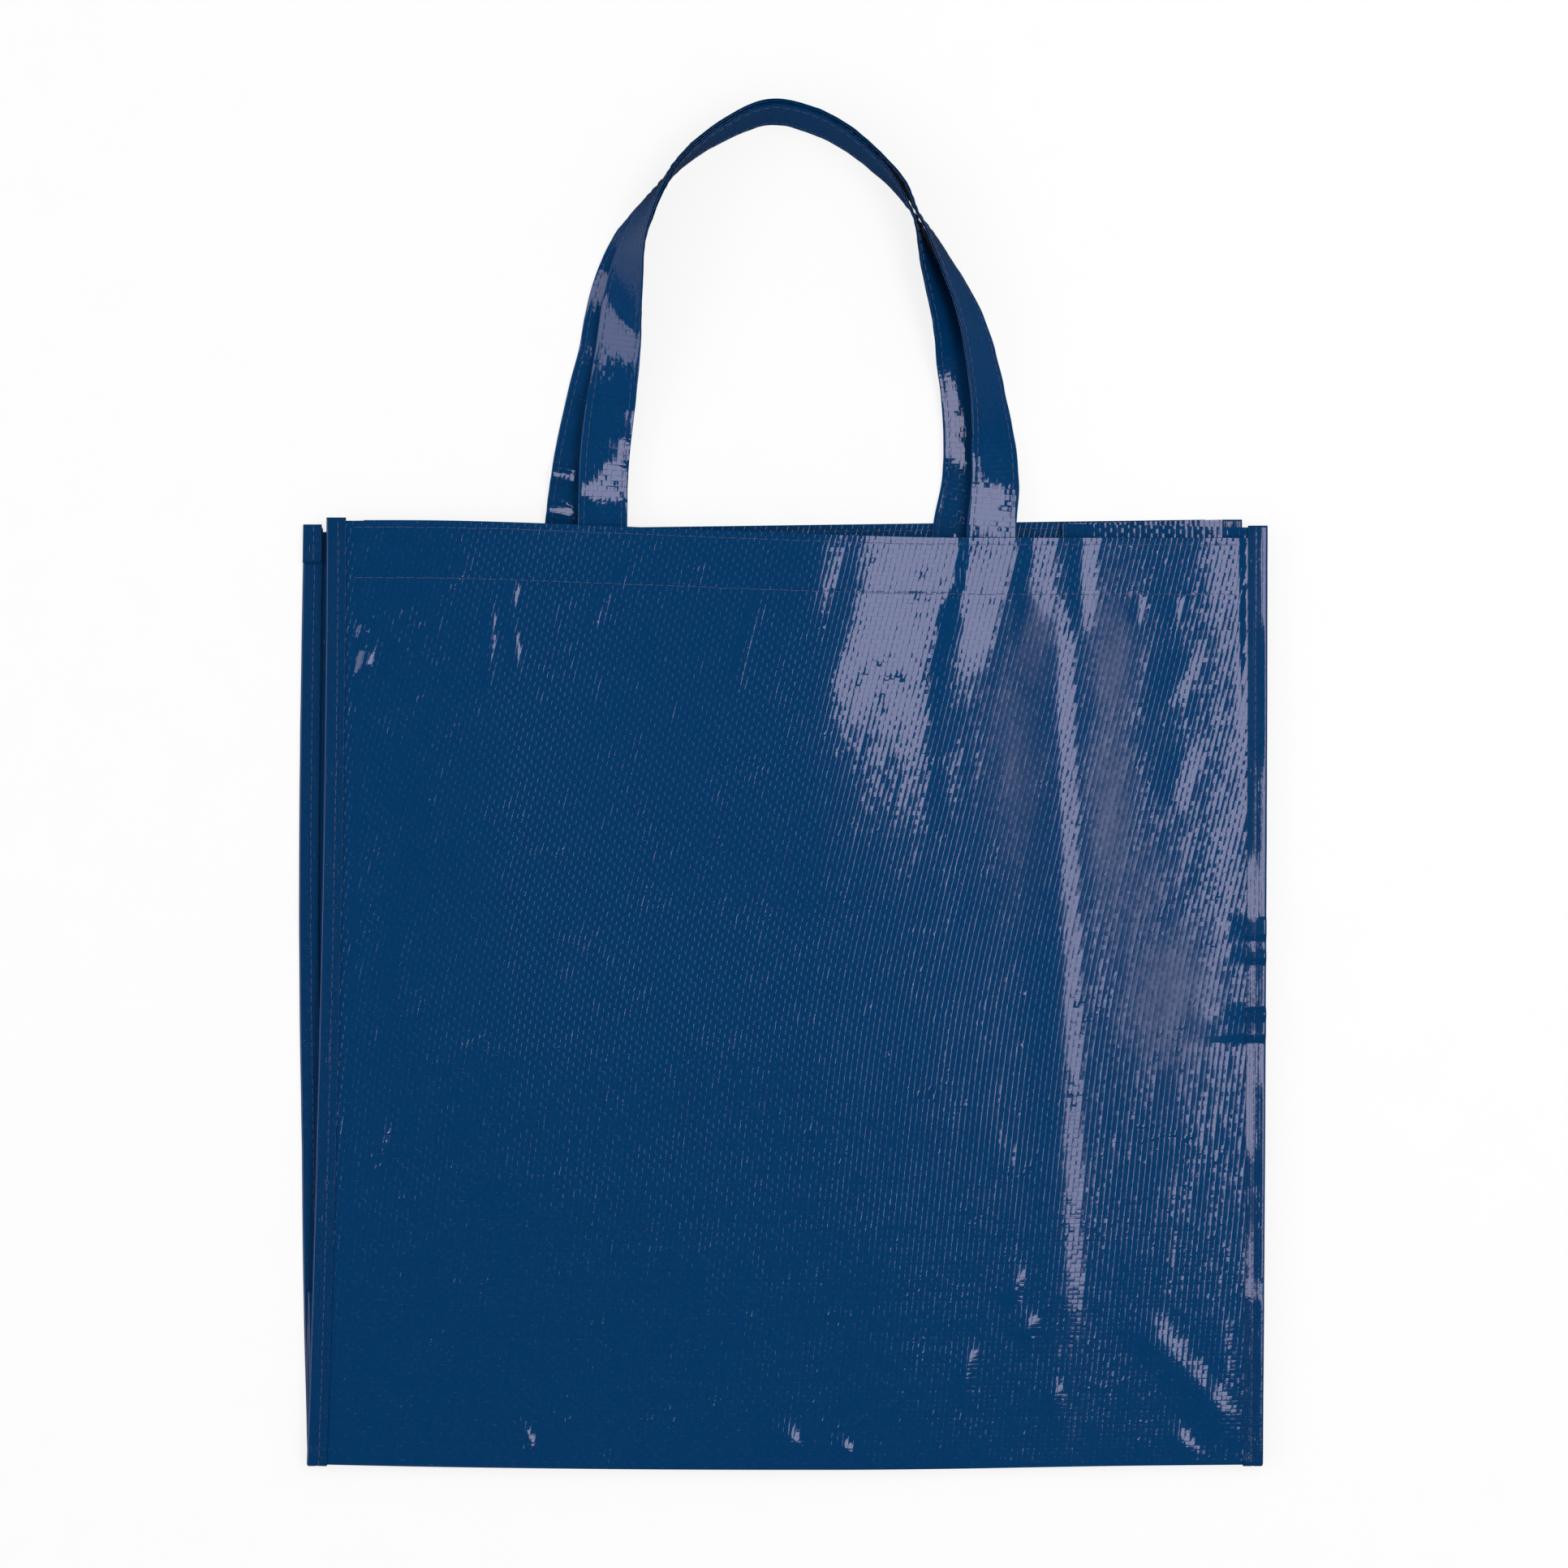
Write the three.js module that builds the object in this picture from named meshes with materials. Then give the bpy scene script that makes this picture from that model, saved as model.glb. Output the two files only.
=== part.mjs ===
import * as THREE from 'three';

// A shopping bag of laminated woven polypropylene, folded flat and lying on its back.
// X runs across the bag, Y from the bottom fold to the handles, Z up from the surface it lies on.

// Driving dimensions, in millimetres
const panelWidth = 450; // front or back, across both bound seams
const panelHeight = 446; // bottom fold to mouth
const bagDepth = 165; // sides and bottom, seam to seam
const clothThickness = 0.25;
const layerGap = 0.3; // between layers that lie on each other
const bindingWidth = 9.7; // seam line to the outer edge of the tape
const bindingInset = 0.5; // the tape's inner edges stop this far short of the seam line
const hemDepth = 30; // turned in at the mouth
const hemInset = 8; // the turned-in part stops this far short of the seams
const hemApproach = 24; // the sides start to make room for the hems this far below them
const strapWidth = 24;
const strapGap = 0.15; // between the four layers of a folded strap
const strapLap = 2; // from a strap's folded edge to the raw edges inside it
const handleSpacing = 186; // between the middles of a handle's two ends
const handleRise = 200; // mouth to the strap's middle at the top of the arch
const handleSewn = 26; // length of each end that is sewn inside the hem
const handleLay = 0.5; // height of the back handle's lower edge off the surface
const bindingProud = 1.5; // the left tape's cut end stands this far above the mouth
const rightProud = 6; // and the right tape's front end
const bindingTail = 17; // the left tape's end, turned over at the back
const tailFullness = 0.4; // how full that end is, against the tape on its seam

// How the folded bag lies
const backShift = -11.6; // at the mouth the back panel lies this far to one side of the front one
const bottomShift = -5.8; // the bottom fold lies this far to the same side of the front's mouth
const bottomSpread = 0.016; // and is this share wider than the mouth, where wrinkles draw the panels in
const frontLean = 1.6; // power by which the front panel comes over to that fold
const backLean = 4; // and the back panel
const backHandleShift = -4.5; // and its handle is sewn this far off its middle
const mouthSlump = 8.4; // fall of the front's mouth edge from left to right
const slumpStart = -0.9; // the fall begins here, in half widths from the middle
const slumpEnd = 0.35; // and ends here
const backMouthLow = -1; // the back's mouth edge at its left end, against panelHeight
const backMouthHigh = 5; // and at its right end
const bottomBow = 2.4; // the bottom fold sags this much at its middle
const puff = 4.5; // the front panel rises this much inside its seams
const puffReach = 60; // over this distance from the seams
const gussetSwell = 0.6; // share of the puff that the folded sides take up
const leftRidge = 2; // rise of the front panel over the sides' inner folds
const rightRidge = 4;
const ridgeWidth = 13;
const wrinkleRise = 5.2; // the wrinkle that runs down the front from the mouth
const wrinkleCrest = 25; // its crest meets the mouth this far from the middle
const wrinkleSlant = 0.12; // and comes nearer to it by this much for each length down
const wrinkleLead = 130; // from where it starts to rise up to its crest
const wrinkleFall = 55; // and from its crest down to its foot
const wrinkleLength = 146; // from the mouth to where it dies away
const noseLength = 20; // the side's inner fold rounds over this length
const tuckFold = 3; // cloth taken up by the bottom tuck's own fold

// Layers that lie on each other at a seam, counted from the surface
const backLayer = 1;
const gussetBackLayer = 2;
const tuckGussetBackLayer = 5;
const tuckBackLayer = 6;
const tuckFrontLayer = 9;
const tuckGussetFrontLayer = 10;
const gussetFrontLayer = 13;
const frontLayer = 14;

// Each bound seam is a fin: tape, two layers of cloth, tape
const backFin = 1.5;
const tuckBackFin = 5.5;
const tuckFrontFin = 9.5;
const frontFin = 13.5;
const finReach = 1.5; // from a fin's middle to its tape, in layers

const layerPitch = clothThickness + layerGap;
const strapPitch = clothThickness + strapGap;
const strapThickness = 3 * strapPitch + clothThickness;
const halfWidth = panelWidth / 2;
const halfDepth = bagDepth / 2;
const seamLine = halfWidth - bindingWidth;
const bindingFold = finReach * layerPitch;
const rawEdge = halfWidth - clothThickness / 2 - bindingFold;
const allowance = rawEdge - seamLine;
const tuckDepth = halfDepth - tuckFold;
const hemEnd = panelHeight - hemDepth;

const { lerp, clamp, smoothstep, degToRad } = THREE.MathUtils;
const up = new THREE.Vector3(0, 0, 1);
const towardsMouth = new THREE.Vector3(0, 1, 0);
const towardsBottom = new THREE.Vector3(0, -1, 0);

function level(layer) {
  return clothThickness / 2 + layer * layerPitch;
}

function steps(from, to, count) {
  return Array.from({ length: count + 1 }, (_, i) => lerp(from, to, i / count));
}

// Closed solid of even thickness about a grid of middle points
function clothSolid(grid, { flip = () => false, skip = () => false } = {}) {
  const rows = grid.length;
  const columns = grid[0].length;
  const half = rows * columns;
  const at = (i, j) => i * columns + j;
  const faces = [];
  for (let i = 0; i + 1 < rows; i++) {
    for (let j = 0; j + 1 < columns; j++) {
      if (skip(i, j)) continue;
      const [a, b, c, d] = [at(i, j), at(i + 1, j), at(i + 1, j + 1), at(i, j + 1)];
      if (flip(i, j)) faces.push([a, b, d], [b, c, d]);
      else faces.push([a, b, c], [a, c, d]);
    }
  }

  const middle = grid.flat();
  const normals = middle.map(() => new THREE.Vector3());
  const triangle = new THREE.Triangle();
  const normal = new THREE.Vector3();
  const edges = new Map();
  for (const face of faces) {
    triangle.setFromPointsAndIndices(middle, ...face);
    triangle.getNormal(normal).multiplyScalar(triangle.getArea());
    face.forEach((corner) => normals[corner].add(normal));
    face.forEach((corner, k) => edges.set(`${corner},${face[(k + 1) % 3]}`, [corner, face[(k + 1) % 3]]));
  }

  const index = [];
  for (const [a, b, c] of faces) index.push(a, b, c, half + a, half + c, half + b);
  for (const [a, b] of edges.values()) {
    if (edges.has(`${b},${a}`)) continue;
    index.push(b, a, half + a, b, half + a, half + b);
  }

  const offset = clothThickness / 2;
  const over = middle.map((p, k) => p.clone().addScaledVector(normals[k].normalize(), offset));
  const under = middle.map((p, k) => p.clone().addScaledVector(normals[k], -offset));
  const geometry = new THREE.BufferGeometry().setFromPoints([...over, ...under]);
  geometry.setIndex(index);
  return geometry;
}

// Points round a half circle between two layers, bulging outwards
function foldBetween(from, to, outward, count) {
  const centre = from.clone().lerp(to, 0.5);
  const arm = from.clone().sub(centre);
  const radius = Math.abs(arm.z);
  return steps(0, Math.PI, count + 1).slice(1, -1).map((angle) =>
    centre.clone()
      .addScaledVector(arm, Math.cos(angle))
      .addScaledVector(outward, radius * Math.sin(angle)));
}

// How far each mouth edge lies from panelHeight
function frontMouth(x) {
  return mouthSlump * (0.5 - smoothstep(x, slumpStart * halfWidth, slumpEnd * halfWidth));
}

function backMouth(x) {
  return lerp(backMouthLow, backMouthHigh, 0.5 + x / panelWidth);
}

// Where a place on a panel lies along X, with share 0 on the front panel and 1 on the back one
function settle(x, y, share) {
  const down = clamp(1 - y / panelHeight, 0, 1);
  const front = bottomShift * down ** frontLean;
  const back = lerp(backShift, bottomShift, down ** backLean);
  return x * (1 + bottomSpread * down ** frontLean) + lerp(front, back, share);
}

// Where a side's inner fold lies under the front panel
function foldX(side) {
  return side * (seamLine - halfDepth) + backShift / 2;
}

// Rise of the front panel between its seams, without its ridges
function puffAt(x, y) {
  return puff * smoothstep(seamLine - Math.abs(x), 0, puffReach) * smoothstep(y, 0, puffReach);
}

function ridgeAt(x, y, side, rise) {
  const across = Math.exp(-(((x - foldX(side)) / ridgeWidth) ** 2));
  const start = smoothstep(y, tuckDepth, tuckDepth + puffReach);
  const end = 1 - smoothstep(y, hemEnd - puffReach, hemEnd);
  return rise * across * start * end;
}

function wrinkleAt(x, y) {
  const crest = wrinkleCrest - wrinkleSlant * (panelHeight - y);
  const across = smoothstep(x, crest - wrinkleLead, crest) - smoothstep(x, crest, crest + wrinkleFall);
  return wrinkleRise * across * smoothstep(y, panelHeight - wrinkleLength, hemEnd);
}

function frontZ(x, y) {
  const ridges = ridgeAt(x, y, -1, leftRidge) + ridgeAt(x, y, 1, rightRidge);
  return level(frontLayer) + puffAt(x, y) + ridges + wrinkleAt(x, y);
}

function bowAt(x) {
  return bottomBow * Math.max(0, 1 - (x / seamLine) ** 2);
}

function frontPoint(x, v, depth = 0) {
  const share = v / panelHeight;
  const y = v + share * frontMouth(x) - (1 - share) * bowAt(x);
  return new THREE.Vector3(settle(x, y, 0), y, frontZ(x, y) - depth);
}

function backPoint(x, v, height = 0) {
  const y = v + (v / panelHeight) * backMouth(x);
  const rise = layerPitch * backLayer * smoothstep(Math.abs(x), seamLine - hemInset, seamLine);
  return new THREE.Vector3(settle(x, y, 1), y, level(0) + rise + height);
}

function tuckPoint(x, v, layer) {
  const front = layer === tuckFrontLayer;
  const half = v / tuckDepth / 2;
  const bow = front ? bowAt(x) * (1 - v / tuckDepth) : 0;
  const y = v - bow;
  return new THREE.Vector3(settle(x, y, front ? half : 1 - half), y, level(layer));
}

// Front, bottom and back in one cloth, followed from hem to hem
function bodyStrip(x) {
  const hemRows = [hemEnd, panelHeight - hemDepth / 2, panelHeight];
  const frontRows = [
    ...[...hemRows].reverse(),
    ...steps(hemEnd - hemDepth / 2, puffReach, 5),
    puffReach / 2, puffReach / 5, 0,
  ];
  const frontHem = hemRows.map((v) => frontPoint(x, v, layerPitch));
  const front = frontRows.map((v) => frontPoint(x, v));
  const tuckFront = steps(0, tuckDepth, 2).map((v) => tuckPoint(x, v, tuckFrontLayer));
  const tuckBack = steps(tuckDepth, 0, 2).map((v) => tuckPoint(x, v, tuckBackLayer));
  const back = [...steps(0, hemEnd, 4), panelHeight].map((v) => backPoint(x, v));
  const backHem = [panelHeight, hemEnd].map((v) => backPoint(x, v, layerPitch));
  return [
    ...frontHem,
    ...foldBetween(frontHem.at(-1), front[0], towardsMouth, 1),
    ...front,
    ...foldBetween(front.at(-1), tuckFront[0], towardsBottom, 3),
    ...tuckFront,
    ...foldBetween(tuckFront.at(-1), tuckBack[0], towardsMouth, 2),
    ...tuckBack,
    ...foldBetween(tuckBack.at(-1), back[0], towardsBottom, 3),
    ...back,
    ...foldBetween(back.at(-1), backHem[0], towardsMouth, 1),
    ...backHem,
  ];
}

function bodySheet() {
  const hemEdge = seamLine - hemInset;
  const ridges = [-1, 1].flatMap((side) => steps(-1.25, 1.25, 4).map((k) => foldX(side) + k * ridgeWidth));
  const forms = [...ridges, ...steps(wrinkleCrest, wrinkleCrest + wrinkleFall, 2)];
  const clear = (x) => forms.every((form) => Math.abs(form - x) > ridgeWidth);
  const even = steps(-hemEdge, hemEdge, 11).filter(clear);
  const columns = [-rawEdge, -seamLine, ...even, ...forms, seamLine, rawEdge].sort((a, b) => a - b);
  const grid = columns.map(bodyStrip);
  const last = grid[0].length - 1;
  const hemCells = 3;
  const backHemCells = 2;
  const inSeam = (i) => Math.abs(columns[i] + columns[i + 1]) / 2 > hemEdge;
  return clothSolid(grid, {
    skip: (i, j) => inSeam(i) && (j <= hemCells || j >= last - backHemCells - 1),
  });
}

// One side panel. u runs across it from its front seam to its back seam, v up from its bottom seam.
function mainLeaf(side, u, v) {
  const front = u <= halfDepth;
  const reach = front ? u : bagDepth - u;
  const share = clamp(u / bagDepth, 0, 1);
  const mouth = lerp(frontMouth(side * halfWidth), backMouth(side * halfWidth), share);
  const y = v + (v / panelHeight) * mouth;
  const x = settle(side * (seamLine - reach), y, share);
  const belowHem = smoothstep(v, hemEnd - hemApproach, hemEnd - hemInset);
  const hemRoom = layerPitch * smoothstep(reach, 0, hemInset) * belowHem;
  const swell = gussetSwell * puff * smoothstep(reach, 0, puffReach) * smoothstep(y, 0, puffReach);
  const top = level(gussetFrontLayer) + swell - 2 * hemRoom;
  const bottom = level(gussetBackLayer) + hemRoom;
  const round = clamp((reach - (halfDepth - noseLength)) / noseLength, 0, 1);
  const open = ((top - bottom) / 2) * Math.sqrt(1 - round * round);
  return new THREE.Vector3(x, y, (top + bottom) / 2 + (front ? open : -open));
}

// The bottom corner of a side panel, folded over at 45 degrees and lying along the bottom tuck
function tuckLeaf(side, u, v) {
  const front = u <= halfDepth;
  const reach = front ? u : bagDepth - u;
  const angle = (clamp((reach - tuckDepth) / tuckFold, 0, 1) * Math.PI) / 2;
  const radius = (level(tuckGussetFrontLayer) - level(tuckGussetBackLayer)) / 2;
  const middle = (level(tuckGussetFrontLayer) + level(tuckGussetBackLayer)) / 2;
  const y = Math.min(reach, tuckDepth) + radius * Math.sin(angle);
  const x = settle(side * (seamLine - v), y, clamp(u / bagDepth, 0, 1));
  const open = radius * Math.cos(angle);
  return new THREE.Vector3(x, y, middle + (front ? open : -open));
}

function gussetPoint(side, u, v) {
  const reach = Math.min(u, bagDepth - u);
  if (v > reach) return mainLeaf(side, u, v);
  if (v < reach) return tuckLeaf(side, u, v);
  return mainLeaf(side, u, v).lerp(tuckLeaf(side, u, v), 0.5);
}

function sideGusset(side) {
  const fromSeam = [
    -allowance, 0, hemInset, ...steps(hemApproach, halfDepth - noseLength, 2),
    halfDepth - noseLength / 2, tuckDepth, halfDepth - tuckFold / 2, halfDepth,
  ];
  const across = [...fromSeam, ...fromSeam.slice(0, -1).reverse().map((reach) => bagDepth - reach)];
  const plain = steps(halfDepth + hemDepth, hemEnd - hemApproach, 4);
  const rows = [...fromSeam, ...plain, hemEnd - hemInset, panelHeight];
  const grid = rows.map((v) => across.map((u) => gussetPoint(side, u, v)));

  const hemStart = rows.length - 1;
  const inside = [hemEnd, panelHeight].map((v) => across.map((u) => mainLeaf(side, u, v)));
  const along = inside[0].map((p, j) => inside[1][j].clone().sub(p).normalize());
  const sideways = inside[1].map((p, j) => {
    const next = inside[1][Math.min(j + 1, across.length - 1)];
    return next.clone().sub(inside[1][Math.max(j - 1, 0)]).normalize();
  });
  const inward = sideways.map((direction, j) =>
    direction.clone().cross(along[j]).multiplyScalar(-side).normalize());
  const hem = inside.map((row) => row.map((p, j) => p.clone().addScaledVector(inward[j], layerPitch)));
  const fold = inside[1].map((p, j) =>
    p.clone().addScaledVector(inward[j], layerPitch / 2).addScaledVector(towardsMouth, layerPitch / 2));
  grid.push(fold, hem[1], hem[0]);

  const seamCell = (j) => j < 2 || j > across.length - 4;
  const edgeCell = (j) => j === 0 || j === across.length - 2;
  const cornerCell = (i, j) => (i === 0 && seamCell(j)) || (i === 1 && edgeCell(j));
  return clothSolid(grid, {
    flip: (i, j) => across[j] >= halfDepth,
    skip: (i, j) => cornerCell(i, j) || (i >= hemStart && seamCell(j)),
  });
}

// Stations down a tape's route: place in the YZ plane, outward side, drift across and how full the tape is
function bindingRoute(side) {
  const edge = side * halfWidth;
  const turn = (level(frontFin) - level(tuckFrontFin)) / 2;
  const station = (y, z, out, share, full = 1) => ({ y, z, out, share, full });
  const arc = (y, z, radius, from, sign, share, full) =>
    [45, 90, 135].map((degrees) => {
      const angle = degToRad(from + degrees);
      const out = new THREE.Vector3(0, Math.cos(angle), Math.sin(angle));
      return station(y + radius * out.y, z + radius * out.z, out.multiplyScalar(sign), share, full);
    });
  const down = up.clone().negate();
  const frontTop = panelHeight + frontMouth(edge) + (side > 0 ? rightProud : bindingProud);
  const backTop = panelHeight + backMouth(edge) + (side > 0 ? 0 : bindingProud);
  const route = [
    ...steps(frontTop, 0, 5).map((y) => station(y, level(frontFin), up, 0)),
    ...arc(0, level((frontFin + tuckFrontFin) / 2), turn, 90, 1, 0),
    ...steps(0, 0.5, 2).map((share) => station(2 * share * tuckDepth, level(tuckFrontFin), down, share)),
    ...arc(tuckDepth, level((tuckFrontFin + tuckBackFin) / 2), turn, 90, -1, 0.5).map((s) => {
      s.y = 2 * tuckDepth - s.y;
      s.out.y = -s.out.y;
      return s;
    }),
    ...steps(0.5, 1, 2).map((share) => station(2 * (1 - share) * tuckDepth, level(tuckBackFin), up, share)),
    ...arc(0, level((tuckBackFin + backFin) / 2), turn, 90, 1, 1),
    ...steps(0, backTop, 4).map((y) => station(y, level(backFin), down, 1)),
  ];
  if (side > 0) return route;

  const tailTurn = bindingFold + clothThickness / 2;
  const tailTop = backTop + bindingFold;
  const tailMiddle = level(backFin) + tailTurn;
  return [
    ...route,
    station(tailTop, level(backFin), down, 1, tailFullness),
    ...arc(tailTop, tailMiddle, tailTurn, 270, 1, 1, tailFullness),
    station(tailTop, tailMiddle + tailTurn, up, 1, tailFullness),
    station(tailTop - bindingTail, tailMiddle + tailTurn, up, 1, tailFullness),
  ];
}

function binding(side) {
  const grid = bindingRoute(side).map(({ y, z, out, share, full }) => {
    const radius = bindingFold * full;
    const centre = clothThickness / 2 + radius;
    const section = [
      [bindingWidth - bindingInset, -radius],
      ...steps(-90, 90, 4).map((degrees) => {
        const angle = degToRad(degrees);
        return [centre - radius * Math.cos(angle), radius * Math.sin(angle)];
      }),
      [bindingWidth - bindingInset, radius],
    ];
    return section.map(([inset, height]) => {
      const place = new THREE.Vector3(side * (halfWidth - inset), y, z).addScaledVector(out, height);
      return place.setX(settle(place.x, place.y, share));
    });
  });
  return clothSolid(grid);
}

// The back handle's free length: across in half spacings, up in rises, turn about its own length in degrees
const backArch = [
  [-0.945, 0.188, 0], [-0.821, 0.447, 8], [-0.771, 0.57, 25], [-0.7, 0.676, 45], [-0.656, 0.718, 55],
  [-0.58, 0.775, 70], [-0.512, 0.817, 82], [-0.43, 0.866, 90], [-0.236, 0.935, 100], [0.03, 0.987, 110],
  [0.26, 0.966, 111], [0.43, 0.923, 108], [0.6, 0.858, 101], [0.689, 0.81, 93], [0.775, 0.748, 85],
  [0.813, 0.705, 77], [0.862, 0.635, 63], [0.966, 0.495, 40], [1.04, 0.319, 10], [1.05, 0.13, 0],
];

// The front handle lies on it. At each of those places: how much of the offset between their ends is left,
// in the strap's own plane and off its face, and how much further it is turned
const frontOverBack = [
  [0.77, 1, 0], [0.55, 1.04, 16], [0.6, 0.8, 14], [0.66, 0.65, 12], [0.6, 0.45, 8],
  [0.44, 0.26, 2], [0.22, 0.12, 0], [0.08, 0.1, 0], [0.06, 0.14, 0], [0.06, 0.1, 0],
  [0.06, 0.05, 0], [0.06, 0.07, 0], [0.06, 0.2, -4], [0.04, 0.26, 0], [0.02, 0.1, 0],
  [0.02, 0.36, 4], [-0.07, 0.68, 11], [-0.32, 0.95, 18], [-0.58, 0.91, 34], [-0.83, 0.87, 22],
];

// Four layers: both raw edges lie inside, against the folded edge
function strapSection() {
  const outer = 1.5 * strapPitch;
  const inner = 0.5 * strapPitch;
  const edge = strapWidth / 2 - clothThickness / 2;
  const foldedEdge = steps(270, 90, 2).map((degrees) => {
    const angle = degToRad(degrees);
    return [outer - edge + outer * Math.cos(angle), outer * Math.sin(angle)];
  });
  return [
    [strapLap - edge, -inner], [edge, -inner], [edge, -outer],
    ...foldedEdge,
    [edge, outer], [edge, inner], [strapLap - edge, inner],
  ];
}

// Each handle is sewn to the inner face of its hem
const backHandleX = backShift + backHandleShift;
const backSewnZ = level(0) + layerPitch + clothThickness / 2 + layerGap + strapThickness / 2;
const frontSeat = frontZ(handleSpacing / 2 + strapWidth / 2, panelHeight) - layerPitch - clothThickness / 2;
const frontSewnZ = frontSeat - layerGap - strapThickness / 2;

function sewnEnd(x, z) {
  return [handleSewn, handleSewn / 2, 0].map((below) => ({
    place: new THREE.Vector3(x, panelHeight - below, z),
    turn: 0,
  }));
}

// Place and directions across and off the face of a strap, at its stations and evenly between them
function strapFrames(stations, between = 1) {
  const route = new THREE.CatmullRomCurve3(stations.map((station) => station.place));
  const last = stations.length - 1;
  return steps(0, last, last * between).map((k) => {
    const from = Math.min(Math.floor(k), last - 1);
    const turn = lerp(stations[from].turn, stations[from + 1].turn, k - from);
    const along = route.getTangent(k / last);
    const inward = along.clone().cross(up).normalize();
    const angle = degToRad(turn);
    const across = inward.multiplyScalar(Math.cos(angle)).addScaledVector(up, Math.sin(angle));
    across.addScaledVector(along, -across.dot(along)).normalize();
    return { place: route.getPoint(k / last), turn, across, face: across.clone().cross(along) };
  });
}

function backStations() {
  const halfSpacing = handleSpacing / 2;
  const free = backArch.map(([across, rise, turn]) => {
    const z = handleLay + strapThickness / 2 + (strapWidth / 2) * Math.sin(degToRad(turn));
    return {
      place: new THREE.Vector3(backHandleX + across * halfSpacing, panelHeight + rise * handleRise, z),
      turn,
    };
  });
  const [left, right] = [-1, 1].map((end) => sewnEnd(backHandleX + end * halfSpacing, backSewnZ));
  return [...left, ...free, ...right.reverse()];
}

function frontStations() {
  const [left, right] = [-1, 1].map((end) => sewnEnd((end * handleSpacing) / 2, frontSewnZ));
  const under = strapFrames(backStations()).slice(left.length, -right.length);
  const touching = strapThickness + layerGap;
  const free = under.map(({ place, turn, across, face }, i) => {
    const [slide, off, further] = frontOverBack[i];
    return {
      place: place.clone()
        .addScaledVector(across, -backHandleX * slide)
        .addScaledVector(face, lerp(touching, frontSewnZ - backSewnZ, off)),
      turn: turn + further,
    };
  });
  return [...left, ...free, ...right.reverse()];
}

function handle(stations) {
  const section = strapSection();
  const grid = strapFrames(stations, 2).map(({ place, across, face }) =>
    section.map(([a, b]) => place.clone().addScaledVector(across, a).addScaledVector(face, b)));
  return clothSolid(grid);
}

// Colours and finishes
const laminatedCloth = { color: 0x05386a, roughness: 0.32, metalness: 0 };
const bindingTape = { color: 0x043160, roughness: 0.5, metalness: 0 };
const strapCloth = { color: 0x063a6e, roughness: 0.36, metalness: 0 };

const pieces = [
  ['body_sheet', bodySheet(), laminatedCloth],
  ['left_gusset', sideGusset(-1), laminatedCloth],
  ['right_gusset', sideGusset(1), laminatedCloth],
  ['left_binding', binding(-1), bindingTape],
  ['right_binding', binding(1), bindingTape],
  ['front_handle', handle(frontStations()), strapCloth],
  ['back_handle', handle(backStations()), strapCloth],
];

const folded = new THREE.Group();
for (const [name, geometry, finish] of pieces) {
  const mesh = new THREE.Mesh(geometry, new THREE.MeshStandardMaterial(finish));
  mesh.name = name;
  folded.add(mesh);
}

// Origin under the middle of the bag
const box = new THREE.Box3().setFromObject(folded);
const centre = box.getCenter(new THREE.Vector3());
folded.position.set(-centre.x, -centre.y, -box.min.z);

const bag = new THREE.Group();
bag.add(folded);

export default bag;
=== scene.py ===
import math

import bpy
import numpy as np
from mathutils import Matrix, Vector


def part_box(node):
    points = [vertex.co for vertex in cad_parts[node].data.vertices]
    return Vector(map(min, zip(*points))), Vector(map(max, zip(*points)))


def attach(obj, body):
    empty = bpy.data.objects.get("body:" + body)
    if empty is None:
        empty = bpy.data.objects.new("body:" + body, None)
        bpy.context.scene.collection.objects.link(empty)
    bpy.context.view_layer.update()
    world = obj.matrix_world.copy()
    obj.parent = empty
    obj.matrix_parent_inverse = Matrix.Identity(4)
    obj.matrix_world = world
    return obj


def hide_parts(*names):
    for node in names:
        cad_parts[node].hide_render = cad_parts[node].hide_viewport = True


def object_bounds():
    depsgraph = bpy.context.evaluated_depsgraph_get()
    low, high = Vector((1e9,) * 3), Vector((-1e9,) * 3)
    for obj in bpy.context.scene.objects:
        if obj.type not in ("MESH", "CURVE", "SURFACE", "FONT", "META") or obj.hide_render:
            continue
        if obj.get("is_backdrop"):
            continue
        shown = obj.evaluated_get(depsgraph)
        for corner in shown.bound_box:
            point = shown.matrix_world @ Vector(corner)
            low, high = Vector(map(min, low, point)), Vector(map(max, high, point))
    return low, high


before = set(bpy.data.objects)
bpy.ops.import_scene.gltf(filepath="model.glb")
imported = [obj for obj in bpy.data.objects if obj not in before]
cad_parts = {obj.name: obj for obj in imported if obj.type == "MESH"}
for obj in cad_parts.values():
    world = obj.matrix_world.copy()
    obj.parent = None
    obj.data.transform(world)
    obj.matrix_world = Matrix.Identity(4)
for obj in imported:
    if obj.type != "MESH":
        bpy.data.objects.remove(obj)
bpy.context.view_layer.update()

mm = 0.001

# The cut and fold of the bag in millimetres, the same sizes as its solids are made from
bag = {
    "width": 450, "height": 446, "depth": 165, "cloth": 0.25, "layerGap": 0.3,
    "bindingWidth": 9.7, "bindingInset": 0.5, "bindingProud": 1.5, "rightProud": 6,
    "bindingTail": 17, "tailFullness": 0.4,
    "hemDepth": 30, "hemInset": 8, "hemApproach": 24,
    "strapWidth": 24, "strapGap": 0.15, "strapLap": 2,
    "handleSpacing": 186, "handleRise": 200, "handleSewn": 26, "handleLay": 0.5,
    "backShift": -11.6, "bottomShift": -5.8, "bottomSpread": 0.016, "frontLean": 1.6, "backLean": 4,
    "backBow": -1.5, "bowRate": 1.5, "backHandleShift": -4.5, "seamAllowance": 8.75,
    "mouthSlump": 8.4, "slumpStart": -0.9, "slumpEnd": 0.35, "backMouthLow": -1, "backMouthHigh": 5,
    "bottomBow": 2.4, "puff": 4.5, "puffReach": 60, "noseLength": 20, "tuckFold": 3,
}
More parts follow.
